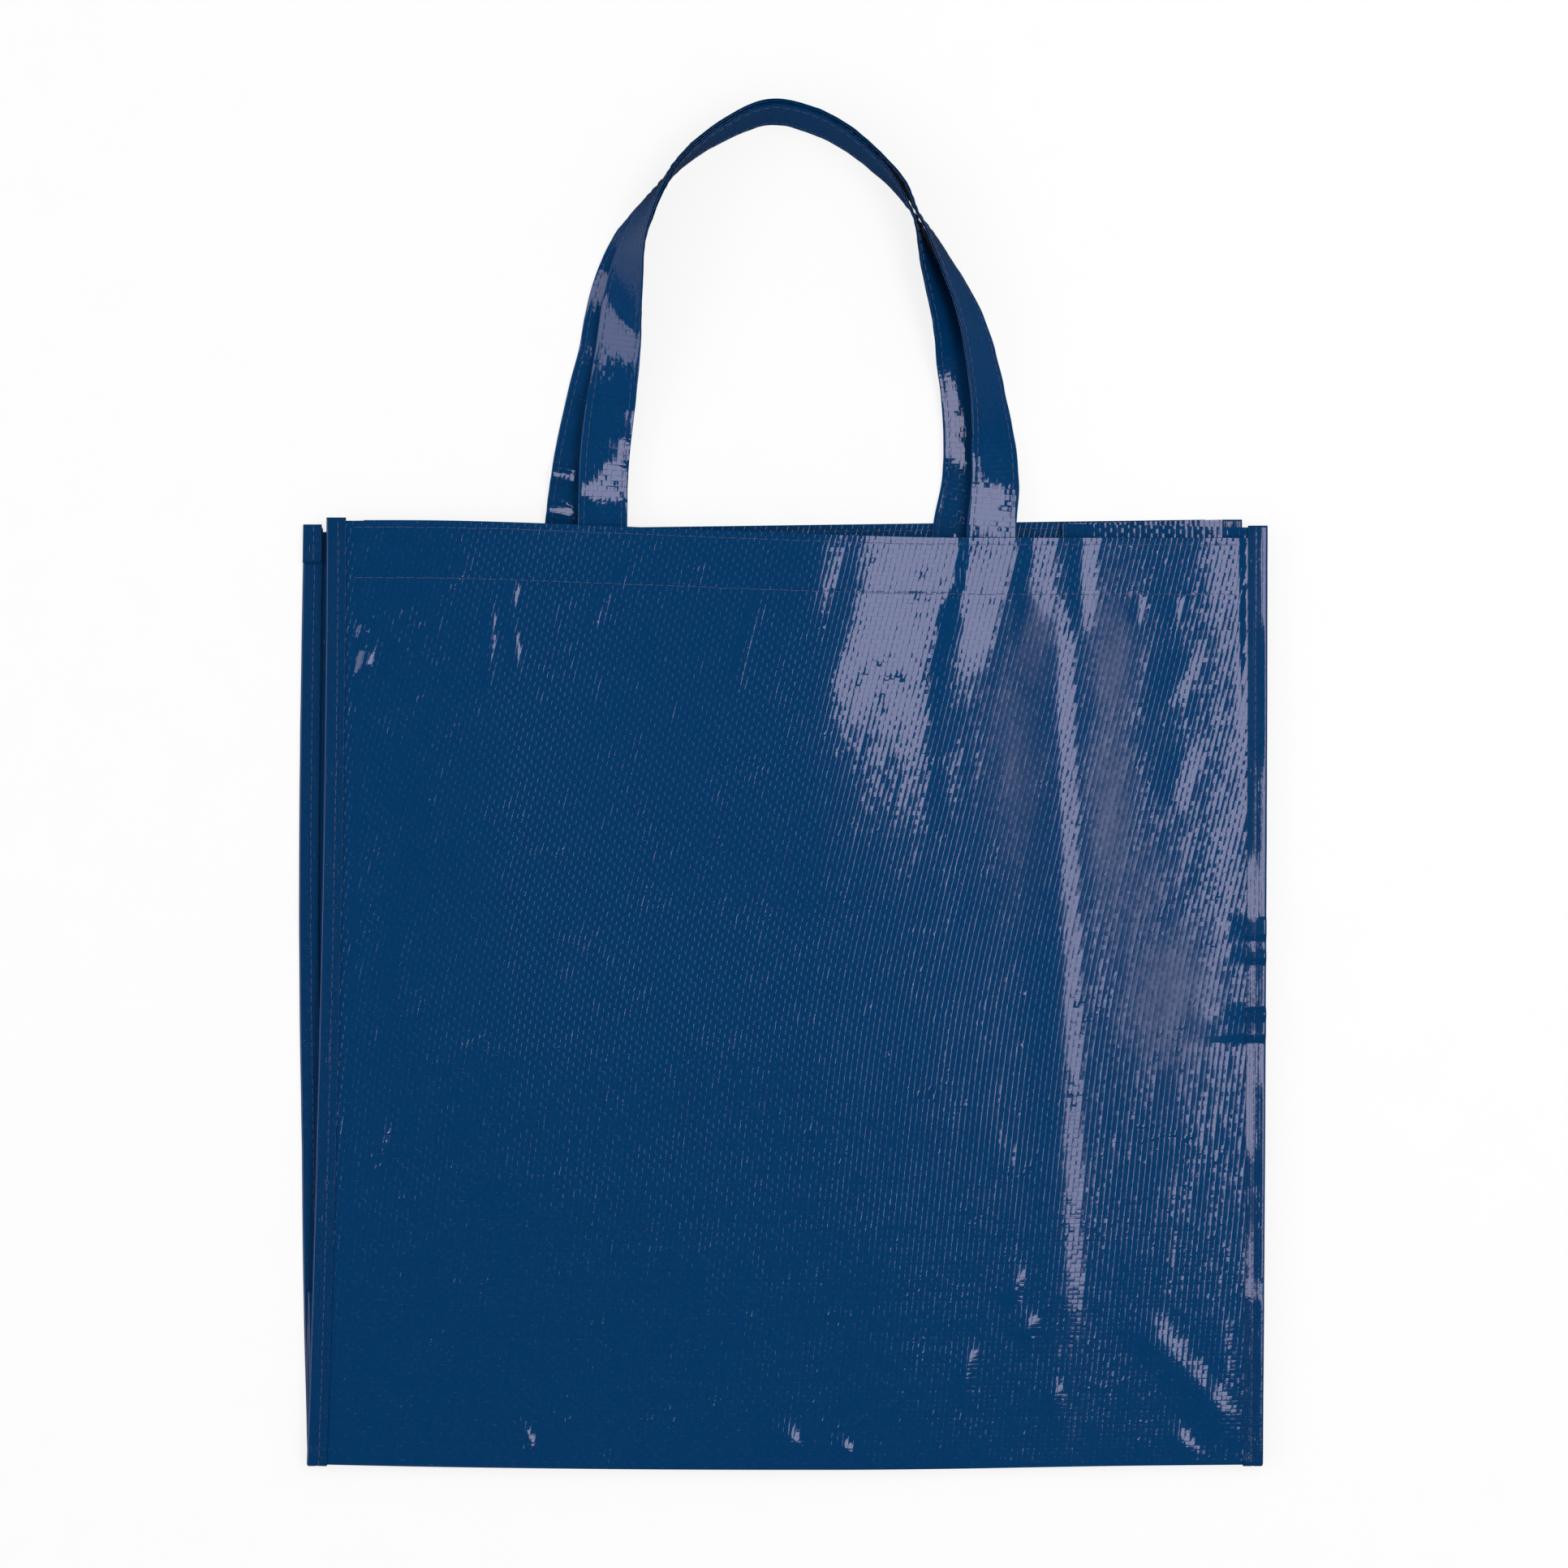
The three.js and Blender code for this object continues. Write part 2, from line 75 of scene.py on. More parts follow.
layers = {
    "back": 1, "gussetBack": 2, "tuckGussetBack": 5, "tuckBack": 6,
    "tuckFront": 9, "tuckGussetFront": 10, "gussetFront": 13, "front": 14,
    "backFin": 1.5, "tuckBackFin": 5.5, "tuckFrontFin": 9.5, "frontFin": 13.5, "finReach": 1.5,
}

cloth, depth = bag["cloth"], bag["depth"]
hemInset, tapeWidth = bag["hemInset"], bag["bindingWidth"]
pitch = cloth + bag["layerGap"]
halfWidth = bag["width"] / 2
halfDepth = depth / 2
height = bag["height"]
seamLine = halfWidth - tapeWidth
bindingFold = layers["finReach"] * pitch
rawEdge = halfWidth - cloth / 2 - bindingFold
tuckDepth = halfDepth - bag["tuckFold"]
hemEnd = height - bag["hemDepth"]
backShift = bag["backShift"]

# Where the bag's own corner of reckoning lies in the frame
origin = np.array([
    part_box("right_binding")[1].x / mm - halfWidth,
    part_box("front_handle")[0].y / mm - (height - bag["handleSewn"]),
    0,
])
print("frame loaded, bag starts from", origin.round(2))


def smooth(x, low, high):
    t = np.clip((x - low) / (high - low), 0, 1)
    return t * t * (3 - 2 * t)


def slope(t, corner=0.24):  # a straight ramp from 0 to 1 with eased ends
    t = np.clip(t, 0, 1)
    ends = 2 * corner * (1 - corner)
    middle = (t - corner / 2) / (1 - corner)
    return np.where(t < corner, t * t / ends, np.where(t > 1 - corner, 1 - (1 - t) ** 2 / ends, middle))


def level(layer):  # by name or number
    return cloth / 2 + layers.get(layer, layer) * pitch


def settle(x, y, share):  # where a place on a panel lies across, share 0 on the front and 1 on the back
    down = np.clip(1 - y / height, 0, 1)
    front = bag["bottomShift"] * down ** bag["frontLean"]
    back = backShift + (bag["bottomShift"] - backShift) * down ** bag["backLean"]
    bow = bag["backBow"] * np.sin(math.pi * np.clip(bag["bowRate"] * down, 0, 1))
    back = back + bow * (0.5 - x / bag["width"])
    return x * (1 + bag["bottomSpread"] * down ** bag["frontLean"]) + front + (back - front) * share


def waves(x, y, scale, seed, octaves=3, rays=5):  # smooth seeded unevenness about zero
    rng = np.random.default_rng(seed)
    total = np.zeros(np.broadcast(x, y).shape)
    for octave in range(octaves):
        for _ in range(rays):
            angle, phase = rng.uniform(0, 2 * math.pi, 2)
            count = rng.uniform(0.7, 1.4) * 2 ** octave * 2 * math.pi
            reach = x / scale[0] * math.cos(angle) + y / scale[1] * math.sin(angle)
            total += np.sin(reach * count + phase) / 2 ** octave
    return total / rays


def near(x, middle, reach):  # 1 at the middle, fading both ways
    return np.exp(-((x - middle) / reach) ** 2)


def unit(vectors):
    return vectors / np.linalg.norm(vectors, axis=-1, keepdims=True)


def packed(*axes):
    return np.stack(np.broadcast_arrays(*axes), -1)


def walkOn(steps):  # distance gone after each step
    return np.concatenate([[0], np.cumsum(steps)])


def walkAlong(points):
    return walkOn(np.linalg.norm(np.diff(points, axis=0), axis=1))


def linked(name, data):
    piece = bpy.data.objects.new(name, data)
    bpy.context.collection.objects.link(piece)
    return piece


def meshPiece(name, points, quads):
    mesh = bpy.data.meshes.new(name)
    mesh.from_pydata(((points + origin) * mm).tolist(), [], quads.tolist())
    mesh.polygons.foreach_set("use_smooth", np.ones(len(quads), bool))
    return linked(name, mesh)


def clothPiece(name, points, flat, keep=None):
    rows, columns = points.shape[:2]
    index = np.arange(rows * columns).reshape(rows, columns)
    quads = np.stack([index[:-1, :-1], index[1:, :-1], index[1:, 1:], index[:-1, 1:]], -1)
    quads = quads.reshape(-1, 4) if keep is None else quads[keep]
    used, quads = np.unique(quads, return_inverse=True)
    piece = meshPiece(name, points.reshape(-1, 3)[used], quads.reshape(-1, 4))
    if flat.shape[-1] == 2:
        flat = np.pad(flat, ((0, 0), (0, 0), (0, 1)))
    place = piece.data.attributes.new("cloth", "FLOAT_VECTOR", "POINT")  # place on the flat cut, dullness
    place.data.foreach_set("vector", flat.reshape(-1, 3)[used].ravel())
    return piece


# One lockstitch: places along it, its lift and girth there in thread radii, and how unevenly it lies
stitchForm = {
    "along": [0, 0.12, 0.35, 0.65, 0.88, 1], "lift": [-0.9, 0.1, 0.55, 0.55, 0.1, -0.9],
    "girth": [0.3, 0.85, 1, 1, 0.85, 0.3], "sides": 6, "slip": 0.12, "stray": 0.08,
}


def threadPiece(name, rows, thread):  # short lockstitches along (points, normals) lines
    verts, quads = [], []
    count = stitchForm["sides"]
    sides = np.linspace(0, 2 * math.pi, count, endpoint=False)
    along = np.array(stitchForm["along"])
    lift = np.array(stitchForm["lift"]) * thread["radius"]
    girth = np.array(stitchForm["girth"]) * thread["radius"]
    rng = np.random.default_rng(thread["seed"])
    for points, normals in rows:
        walk = walkAlong(points)
        for start in np.arange(thread["first"], walk[-1] - thread["stitch"], thread["stitch"]):
            s = start + thread["gap"] / 2 + along * (thread["stitch"] - thread["gap"])
            s = s + rng.normal(0, stitchForm["slip"])
            spot = packed(*[np.interp(s, walk, axis) for axis in points.T])
            out = unit(packed(*[np.interp(s, walk, axis) for axis in normals.T]))
            ahead = unit(np.gradient(spot, axis=0))
            beside = np.cross(ahead, out)
            spot = spot + out * lift[:, None] + beside * rng.normal(0, stitchForm["stray"])
            ring = spot[:, None] + girth[:, None, None] * (
                np.cos(sides)[None, :, None] * out[:, None] + np.sin(sides)[None, :, None] * beside[:, None])
            base = len(verts) * along.size * count
            verts.append(ring.reshape(-1, 3))
            grid = base + np.arange(along.size * count).reshape(-1, count)
            turned = np.roll(grid, -1, 1)
            quads.append(np.stack([grid[:-1], turned[:-1], turned[1:], grid[1:]], -1).reshape(-1, 4))
    return meshPiece(name, np.concatenate(verts), np.concatenate(quads))


# Shader sockets that can be reckoned with
class Wire:
    def __init__(self, tree, socket=None):
        self.tree = tree
        self.socket = socket

    def node(self, kind, settings=None, sockets=None, out=0):
        made = self.tree.nodes.new(kind)
        for key, value in (settings or {}).items():
            setattr(made, key, value)
        for key, value in (sockets or {}).items():
            if isinstance(value, Wire):
                self.tree.links.new(value.socket, made.inputs[key])
            else:
                made.inputs[key].default_value = value
        return Wire(self.tree, made.outputs[out])

    def reckon(self, operation, *parts):
        return self.node("ShaderNodeMath", {"operation": operation}, dict(enumerate(parts)))

    def __add__(self, other):
        return self.reckon("ADD", self, other)

    def __sub__(self, other):
        return self.reckon("SUBTRACT", self, other)

    def __rsub__(self, other):
        return self.reckon("SUBTRACT", other, self)

    def __mul__(self, other):
        return self.reckon("MULTIPLY", self, other)

    def __truediv__(self, other):
        return self.reckon("DIVIDE", self, other)

    def __pow__(self, other):
        return self.reckon("POWER", self, other)

    def __mod__(self, other):
        return self.reckon("FLOORED_MODULO", self, other)

    def above(self, level):
        return self.reckon("MAXIMUM", self - level, 0)

    def floor(self):
        return self.reckon("FLOOR", self)

    def size(self):
        return self.reckon("ABSOLUTE", self)

    def into(self, node, name):
        self.tree.links.new(self.socket, node.inputs[name])

    def axis(self, name):
        return self.node("ShaderNodeSeparateXYZ", None, {0: self}, name)

    def pair(self, x, y):
        return self.node("ShaderNodeCombineXYZ", None, {0: x, 1: y})

    def mix(self, low, high):
        return self.node("ShaderNodeMix", {"data_type": "RGBA"}, {0: self, 6: low, 7: high}, 2)

    def noise(self, scale, detail=2):
        return self.node("ShaderNodeTexNoise", {"noise_dimensions": "2D"},
                         {"Vector": self, "Scale": scale, "Detail": detail}, 0)


def newMaterial(name):
    material = bpy.data.materials.new(name)
    material.use_nodes = True
    tree = material.node_tree
    return material, tree, tree.nodes["Principled BSDF"]


# Film-coated plain weave of flat tapes in millimetres: how high warp and weft rise, how much warp shows
# under the weft, the shape of their edges, how cells and tapes tilt, and where a tape stands proud
filmLook = {
    "warp": 2.59, "weft": 2.16, "turned": False, "warpRise": 0.055, "weftRise": 0.014, "under": 0.33,
    "edgePower": 10, "edgeShare": 0.85, "weftPower": 6, "weftShare": 0.7, "warpDip": 0.2, "weftDip": 0.3,
    "tilt": 0.09, "streak": 0.16, "weftStreak": 0.1, "tapeChange": 0.03, "weftChange": 0.016,
    "loose": 0.56, "looseChange": 0.17, "worn": 0.5, "wornScale": 0.045, "proudRise": 7.04, "dullFlat": 0.4,
    "shades": (0.35, 0.25, 0.2, 0.12),  # how far tape, weft, cell and warp lighten the colour
    "dark": (0.0004, 0.033, 0.112, 1), "light": (0.0008, 0.042, 0.138, 1),
    "roughness": 0.05, "wornRough": 0.05, "dullness": 0.2,
    "sockets": {
        "Specular IOR Level": 0.68, "Specular Tint": (0.82, 0.76, 1.0, 1),
        "Coat Weight": 0.02, "Coat Roughness": 0.45,
    },
}
unlike = {"tape": 7.31, "weft": 5.17, "loose": 3.73}  # steps that make neighbouring tapes differ


def wovenFilm(name, look):
    material, tree, shader = newMaterial(name)
    start = Wire(tree)
    place = start.node("ShaderNodeAttribute", {"attribute_name": "cloth"}, out="Vector")
    if look["turned"]:  # cut with the warp across
        place = start.pair(place.axis("Y"), place.axis("X"))
    warp = place.axis("X") / look["warp"]
    weft = place.axis("Y") / look["weft"]
    column = warp.floor()
    row = weft.floor()
    across = warp - column - 0.5
    along = weft - row - 0.5
    warpOver = (column + row) % 2
    cell = start.pair(column, row)
    chance = cell.node("ShaderNodeTexWhiteNoise", {"noise_dimensions": "2D"}, {"Vector": cell}, "Color")
    tape = start.pair(column * unlike["tape"], place.axis("Y") * look["tapeChange"]).noise(1.0)
    thread = start.pair(place.axis("X") * look["weftChange"], row * unlike["weft"]).noise(1.0)
    loose = start.pair(column * unlike["loose"], place.axis("Y") * look["looseChange"]).noise(1.0)
    worn = place.noise(look["wornScale"], 4)

    acrossArch = 1 - (across.size() * 2) ** 2
    alongArch = 1 - (along.size() * 2) ** 2
    leftSide = (0 - across).above(0) * 2
    rightSide = across.above(0) * 2
    steep = rightSide ** look["edgePower"] * look["edgeShare"] + rightSide ** 2 * (1 - look["edgeShare"])
    acrossEdge = 1 - leftSide ** 2 - steep  # laps like a shingle
    flatTop = 1 - (along.size() * 2) ** look["weftPower"]
    alongEdge = flatTop * look["weftShare"] + alongArch * (1 - look["weftShare"])
    warpTop = acrossEdge * (alongArch * look["warpDip"] + (1 - look["warpDip"])) * look["warpRise"]
    weftTop = alongEdge * (acrossArch * look["weftDip"] + (1 - look["weftDip"])) * look["weftRise"]
    lean = ((chance.axis("X") - 0.5) * across + (chance.axis("Y") - 0.5) * along) * look["tilt"]
    sway = (tape - 0.5) * across * look["streak"] + (thread - 0.5) * along * look["weftStreak"]
    proud = loose.above(look["loose"]) * worn.above(look["worn"]) * look["proudRise"]
    proud = proud * (1 - leftSide ** 2 - rightSide ** 4)
    cover = warpOver * (1 - look["under"]) + look["under"]  # the film carries the warp on under the weft
    relief = cover * warpTop + (1 - warpOver) * weftTop + lean + sway + proud
    relief = relief * (1 - place.axis("Z") * look["dullFlat"])
    normal = start.node("ShaderNodeBump", None, {"Strength": 1.0, "Distance": mm, "Height": relief}, "Normal")

    byTape, byWeft, byCell, byWarp = look["shades"]
    tone = tape * byTape + thread * byWeft + chance.axis("Z") * byCell + warpOver * byWarp
    tone.mix(look["dark"], look["light"]).into(shader, "Base Color")
    rough = worn * look["wornRough"] + look["roughness"] + place.axis("Z") * look["dullness"]
    rough.into(shader, "Roughness")
    normal.into(shader, "Normal")
    for socket, value in look["sockets"].items():
        shader.inputs[socket].default_value = value
    return material


# The thread's colours: the twist bands between dark and light are painted highlight and painted shade, the
# fuzz is its random tone
threadLook = {
    "dark": (0.003, 0.03, 0.09, 1), "light": (0.09, 0.12, 0.28, 1), "roughness": 0.2, "fuzzRough": 0.2,
    "twist": 700.0, "fuzz": 900.0, "fuzzShare": 0.4, "bump": 0.06, "bumpStrength": 0.6,
}


def twistedThread(name, look):
    material, tree, shader = newMaterial(name)
    start = Wire(tree)
    place = start.node("ShaderNodeTexCoord", out="Object")
    twist = start.node("ShaderNodeTexWave", {"bands_direction": "DIAGONAL"},
                       {"Vector": place, "Scale": look["twist"], "Distortion": 1.0}, "Fac")
    fuzz = start.node("ShaderNodeTexNoise", None, {"Vector": place, "Scale": look["fuzz"]}, 0)
    normal = start.node("ShaderNodeBump", None, {
        "Strength": look["bumpStrength"], "Distance": look["bump"] * mm, "Height": twist}, "Normal")
    # Lighter on the twist's ridges and darker in its grooves, on the same wave as the bump: painted highlight
    # and painted shade; the fuzz share is the thread's random tone
    tone = twist * (1 - look["fuzzShare"]) + fuzz * look["fuzzShare"]
    tone.mix(look["dark"], look["light"]).into(shader, "Base Color")
    (fuzz * look["fuzzRough"] + look["roughness"]).into(shader, "Roughness")
    normal.into(shader, "Normal")
    return material


panelFilm = wovenFilm("panel_film", filmLook)
gussetFilm = wovenFilm("gusset_film", filmLook)
strapFilm = wovenFilm("strap_film", {**filmLook, "turned": True})
bindingFilm = wovenFilm("binding_film", {
    **filmLook, "warp": 1.3, "weft": 1.3, "warpRise": 0.01, "weftRise": 0.01, "tilt": 0.03, "streak": 0.1,
    "proudRise": 2.4, "roughness": 0.08,
    "dark": (0.0005, 0.030, 0.102, 1), "light": (0.0008, 0.038, 0.126, 1),
})
sewingThread = twistedThread("sewing_thread", threadLook)
print("materials ready")


# The front panel: wrinkles that run down from the mouth, each rising to a crest and falling to its foot.
# Crest and foot are lines of (x, y) from the bottom up, lead and rise are (length, y), grow is (share, y).
frontFolds = [
    {"crest": [(0, 310), (0, 352), (8, 380), (13, 389), (16, 404), (19, 446)],
     "foot": [(86, 300), (84, 332), (78, 352), (68, 369), (70, 385), (76, 404), (87, 417), (91, 446)],
     "lead": [(120, 446)], "rise": [(6.4, 404), (6.9, 417)],
     "grow": [(0, 262), (0.3, 294), (0.5, 313), (0.68, 332), (0.85, 352), (1, 380)]},
    {"crest": [(71.1, 369), (75.4, 404), (78, 417), (82, 446)],
     "foot": [(90.9, 369), (98.7, 404), (103, 417), (112, 446)],
     "lead": [(9, 369), (8, 404), (3.2, 417), (2.4, 446)], "rise": [(2.0, 404), (1.5, 446)],
     "grow": [(0, 290), (0.16, 320), (0.2, 352), (0.3, 371), (0.6, 385), (1, 400)]},
    {"crest": [(106, 380), (108.8, 404), (112, 446)], "foot": [(123, 380), (124.4, 404), (125.9, 446)],
     "lead": [(6, 404), (4.5, 446)], "rise": [(0.9, 446)], "grow": [(0, 387), (1, 410)]},
    {"crest": [(135.6, 400), (135.6, 446)], "foot": [(143, 400), (145, 446)],
     "lead": [(7, 446)], "rise": [(0.6, 446)], "grow": [(0, 394), (1, 410)]},
]
ridge = {
    "line": [(128.2, 78), (127.1, 214), (125.5, 311), (122.8, 412)], "lead": 22, "bright": 10, "rise": 0.53,
    "fade": 25, "fadeRise": 0.05, "from": 48, "full": 85, "until": 395, "gone": 425,
}
leftRidge = {
    "line": [(-138, 90), (-139, 250), (-141, 400)], "lead": 30, "bright": 16, "rise": 0.5,
    "fade": 30, "fadeRise": 0.5, "from": 90, "full": 150, "until": 350, "gone": 410,
}
# Small creases: middle across and up, degrees from the X axis that they run in, length, width, rise
creases = [
    (-146.5, 391, 88, 44, 3.4, 0.66), (-135.5, 415, 80, 13, 3.4, 0.85), (-134.5, 390, 95, 28, 3, 0.56),
    (-94, 408, 62, 24, 3.4, 0.75), (-82, 424, 58, 18, 3, 0.66), (-160, 426, 55, 20, 3, 0.75),
    (-20, 404, 72, 34, 3.4, 0.52), (8, 424, 76, 46, 14, 1.12), (-27, 380, 78, 26, 3.4, 0.52),
    (-190, 240, 75, 30, 4, 0.7), (-199, 152, 78, 24, 4, 0.95), (-209, 395, 52, 13, 3, 1.7),
    (-205, 387, 48, 15, 3, 1.5), (-208, 379, 42, 14, 3, 2.0), (-196, 399, 60, 10, 3, 0.95),
    (-200, 404, 58, 6, 3, 1.0), (-192, 394, 62, 7, 3, 0.95), (-187, 386, 64, 7, 3, 0.9),
    (-172, 400, 64, 9, 3, 0.85), (-186, 404, 65, 12, 3, 0.8), (-178, 392, 70, 14, 3, 0.75),
    (110, 64, 66, 12, 6, 0.9), (104, 84, 75, 16, 5, 0.65), (80.8, 43, 80, 22, 5, 0.75),
    (123.6, 31, 84, 12, 4, 0.6), (96, 150, 110, 26, 9, 0.2), (-4.7, 12, 112, 14, 7, 0.9),
    (22.5, 6, 118, 10, 5, 0.9), (-129, 12, 112, 14, 4, 0.9), (187, 42, 130, 56, 10, 0.42),
    (172, 58, 108, 22, 10, 0.3), (203, 25, 118, 24, 9, 0.3), (184.6, 9, 125, 16, 6, 0.45),
    (205, 50, 92, 34, 6, 0.25), (214, 257, 4, 16, 3, -0.7), (214, 243, -5, 15, 2.5, -0.6),
    (209, 215, 3, 26, 3.5, -0.8), (184, 376, 62, 30, 7, 0.35), (184, 330, 70, 30, 9, 0.36),
    (163, 407, 75, 12, 4, 0.35), (181, 408, 75, 10, 4, 0.35),
]
# How the panel slopes down to the right, for each height up at these places across, and its drop at the seam.
# On the left a groove runs beside the tape.
panelFall = {
    "step": 0.5, "left": 60, "seamDrop": 4.6,
    "groove": 0.3, "grooveFrom": 60, "grooveAt": 3.5, "grooveWidth": 2.4,
    "across": [10, 60, 105, 137, 150, 165, 180, 190, 198, 206, 212],
    "slopes": {
        60: [-0.006, 0.01, 0.016, 0.007, 0, -0.01, -0.017, -0.018, -0.02, -0.022, -0.024],
        150: [-0.005, 0.014, 0.02, 0.015, 0.008, 0.008, -0.005, -0.009, -0.009, -0.013, -0.016],
        195: [0, 0.024, 0.02, 0.014, 0.007, 0.009, 0.007, 0.008, 0.01, 0.012, 0.01],
        240: [0, 0.026, 0.022, 0.014, 0.005, 0.003, 0.004, 0.008, 0.01, 0.01, 0.008],
        300: [0, 0.02, 0.022, 0.015, 0.009, 0.008, 0.001, 0.009, 0.022, 0.022, 0.019],
        345: [0, 0.021, 0.022, 0.016, 0.008, 0.005, 0.005, 0.002, 0.006, 0.017, 0.023],
        370: [0, 0.028, 0.024, 0.018, 0.006, 0.002, -0.001, -0.006, -0.009, -0.006, 0.024],
        400: [0, 0.028, 0.028, 0.018, -0.003, -0.007, -0.006, -0.004, -0.001, 0.026, 0.024],
        430: [0, 0.028, 0.028, 0.018, -0.002, -0.009, -0.012, -0.01, 0.018, 0.03, 0.022],
    },
    "drops": [0, 0, 0, 0, 0, 0.1, 0.6, 1.3, 1.3],
}
# Puckers that lift the right edge: height up, half span, where the lift starts, rise for each mm across
puckers = [(255.5, 4.7, 206, 0.08), (241.8, 2.4, 207, 0.08), (214.5, 2.0, 205, 0.07), (209.5, 7, 186, 0.035)]
puckerEdge = 1.6
# Where the film is dull: middle, reach across and up, how dull
dullSpots = [
    (151, 384, 11, 34, 1), (176, 224, 22, 34, 1), (150, 310, 12, 50, 1), (106, 335, 15, 60, 0.85),
    (112, 388, 11, 26, 1), (132, 220, 7, 150, 0.4), (160, 265, 22, 40, 0.6),
]
# Unevenness: rise, span across and up, seed. The first shifts the wrinkles sideways.
panelWaves = {"wander": (1.3, (45, 26), 8), "broad": (0.13, (70, 130), 3), "fine": (0.04, (16, 30), 5)}
panelRim = {"side": 10, "bottom": 8}  # where the folds die away
hemStitch = {"rows": [3.1, 27], "depth": 0.2, "even": 0.65, "spread": 0.9, "stitch": 5.0}


def frontMouth(x):
    return bag["mouthSlump"] * (0.5 - smooth(x, bag["slumpStart"] * halfWidth, bag["slumpEnd"] * halfWidth))


def backMouth(x):
    return bag["backMouthLow"] + (bag["backMouthHigh"] - bag["backMouthLow"]) * (0.5 + x / bag["width"])


def bowAt(x):
    return bag["bottomBow"] * np.maximum(0, 1 - (x / seamLine) ** 2)


def lineAt(line, y):
    xs, ys = zip(*line)
    return np.interp(y, ys, xs)


def foldAt(x, y, fold):
    crest = lineAt(fold["crest"], y)
    foot = lineAt(fold["foot"], y)
    lead = lineAt(fold["lead"], y)
    fall = slope((x - crest) / (foot - crest), corner=0.3)
    rise = np.where(x < crest, smooth(x, crest - lead, crest), 1 - fall)
    return lineAt(fold["rise"], y) * rise * lineAt(fold["grow"], y)


def ridgeAt(x, y, line, lap=0.8):
    crest = lineAt(line["line"], y)
    total = line["rise"] + line["fadeRise"]
    fall = line["rise"] * slope((x - crest) / line["bright"])
    fall = fall + line["fadeRise"] * slope((x - crest - line["bright"] * lap) / line["fade"], corner=0.3)
    rise = np.where(x < crest, total * smooth(x, crest - line["lead"], crest), total - fall)
    return rise * smooth(y, line["from"], line["full"]) * (1 - smooth(y, line["until"], line["gone"]))


def creaseAt(x, y, middle, upright, angle, length, width, rise, lead=1.6):
    turn = math.radians(angle)
    along = (x - middle) * math.cos(turn) + (y - upright) * math.sin(turn)
    off = (x - middle) * math.sin(turn) - (y - upright) * math.cos(turn)
    shape = np.where(off < 0, smooth(off, -width * lead, 0), 1 - slope(off / width, corner=0.25))
    return rise * shape * np.exp(-(2 * along / length) ** 4)


def puckerAt(x, y):
    total = 0 * x * y
    for middle, span, start, rise in puckers:
        edge = min(puckerEdge, span / 2)
        low, high = middle - span, middle + span
        inSpan = smooth(y, low - edge, low + edge) * (1 - smooth(y, high - edge, high + edge))
        total = total + rise * np.maximum(x - start, 0) * inSpan
    return total


def dullAt(x, y):
    return np.max([dull * near(x, middle, across) * near(y, upright, up)
                   for middle, upright, across, up, dull in dullSpots], axis=0)


def baseAt(x, y):
    fall = panelFall
    place = np.arange(fall["across"][0], seamLine, fall["step"])
    heights = list(fall["slopes"])
    total = 0
    for k, (slopes, drop) in enumerate(zip(fall["slopes"].values(), fall["drops"])):
        down = np.cumsum(np.interp(place, fall["across"], slopes)[::-1])[::-1] * fall["step"]
        down = down + drop * (1 - smooth(place, seamLine - fall["seamDrop"], seamLine))
        total = total + np.interp(x, place, down) * np.interp(y, heights, np.eye(len(heights))[k])
    groove = fall["groove"] * near(seamLine + x, fall["grooveAt"], fall["grooveWidth"])
    return total * smooth(x + seamLine, 0, fall["left"]) - groove * smooth(y, 0, fall["grooveFrom"])


def unevenAt(x, y, kind):
    rise, span, seed = panelWaves[kind]
    return rise * waves(x, y, span, seed)


def frontZ(x, placed, y):  # x on the flat panel, placed where the lean brings it
    inside = smooth(seamLine - np.abs(x), 0, panelRim["side"]) * smooth(y, 0, panelRim["bottom"])
    relief = ridgeAt(placed, y, ridge) + ridgeAt(placed, y, leftRidge)
    wander = placed + unevenAt(placed, y, "wander")
    for fold in frontFolds:
        relief = relief + foldAt(wander, y, fold)
    for crease in creases:
        relief = relief + creaseAt(placed, y, *crease)
    relief = relief + unevenAt(placed, y, "broad") + unevenAt(placed, y, "fine")
    return level("front") + baseAt(x, y) + relief * inside + puckerAt(placed, y)


def dimples(along, stitch, even):  # how hard the thread pulls, least between the stitches
    return even + (1 - even) * np.cos(2 * math.pi * along / stitch)


def frontPoint(x, v, under=0.0):
    share = v / height
    y = v + share * frontMouth(x) - (1 - share) * bowAt(x)
    placed = settle(x, y, 0)
    z = frontZ(x, placed, y) - under
    for row in hemStitch["rows"]:
        pull = near(v, height - row, hemStitch["spread"])
        z = z - hemStitch["depth"] * pull * dimples(x, hemStitch["stitch"], hemStitch["even"])
    return packed(placed, y, z)


def backPoint(x, v, raised=0.0):
    y = v + v / height * backMouth(x)
    z = level(0) + pitch * layers["back"] * smooth(np.abs(x), seamLine - hemInset, seamLine) + raised
    return packed(settle(x, y, 1), y, z)


def tuckPoint(x, v, layer):
    front = layer == layers["tuckFront"]
    half = v / tuckDepth / 2
    y = v - (bowAt(x) * (1 - v / tuckDepth) if front else 0)
    return packed(settle(x, y, half if front else 1 - half), y, level(layer))


def turnOver(first, last, outward, count):  # rows round a half circle from one row of points to another
    centre = (first + last) / 2
    arm = first - centre
    angles = np.linspace(0, math.pi, count + 2)[1:-1, None, None]
    reach = np.abs(arm[:, 2:3]) * np.array([[0, outward, 0]])
    return centre + arm * np.cos(angles) + reach * np.sin(angles)


# How the warp leans over the panel, and how much more above a height, over a soft bend
weaveLean = {"low": 0.09, "more": 0.15, "above": 220, "bend": 20}
bodyGrid = {
    "columns": 320, "rows": 188, "backRows": 42, "hemRows": 8, "tuckRows": 9,
    "hemTurn": 3, "foldTurn": 7, "tuckTurn": 5,
    "atStitch": [-1.4, -0.7, 0, 0.7, 1.4], "atFold": [2, 4, 6, 9],
}


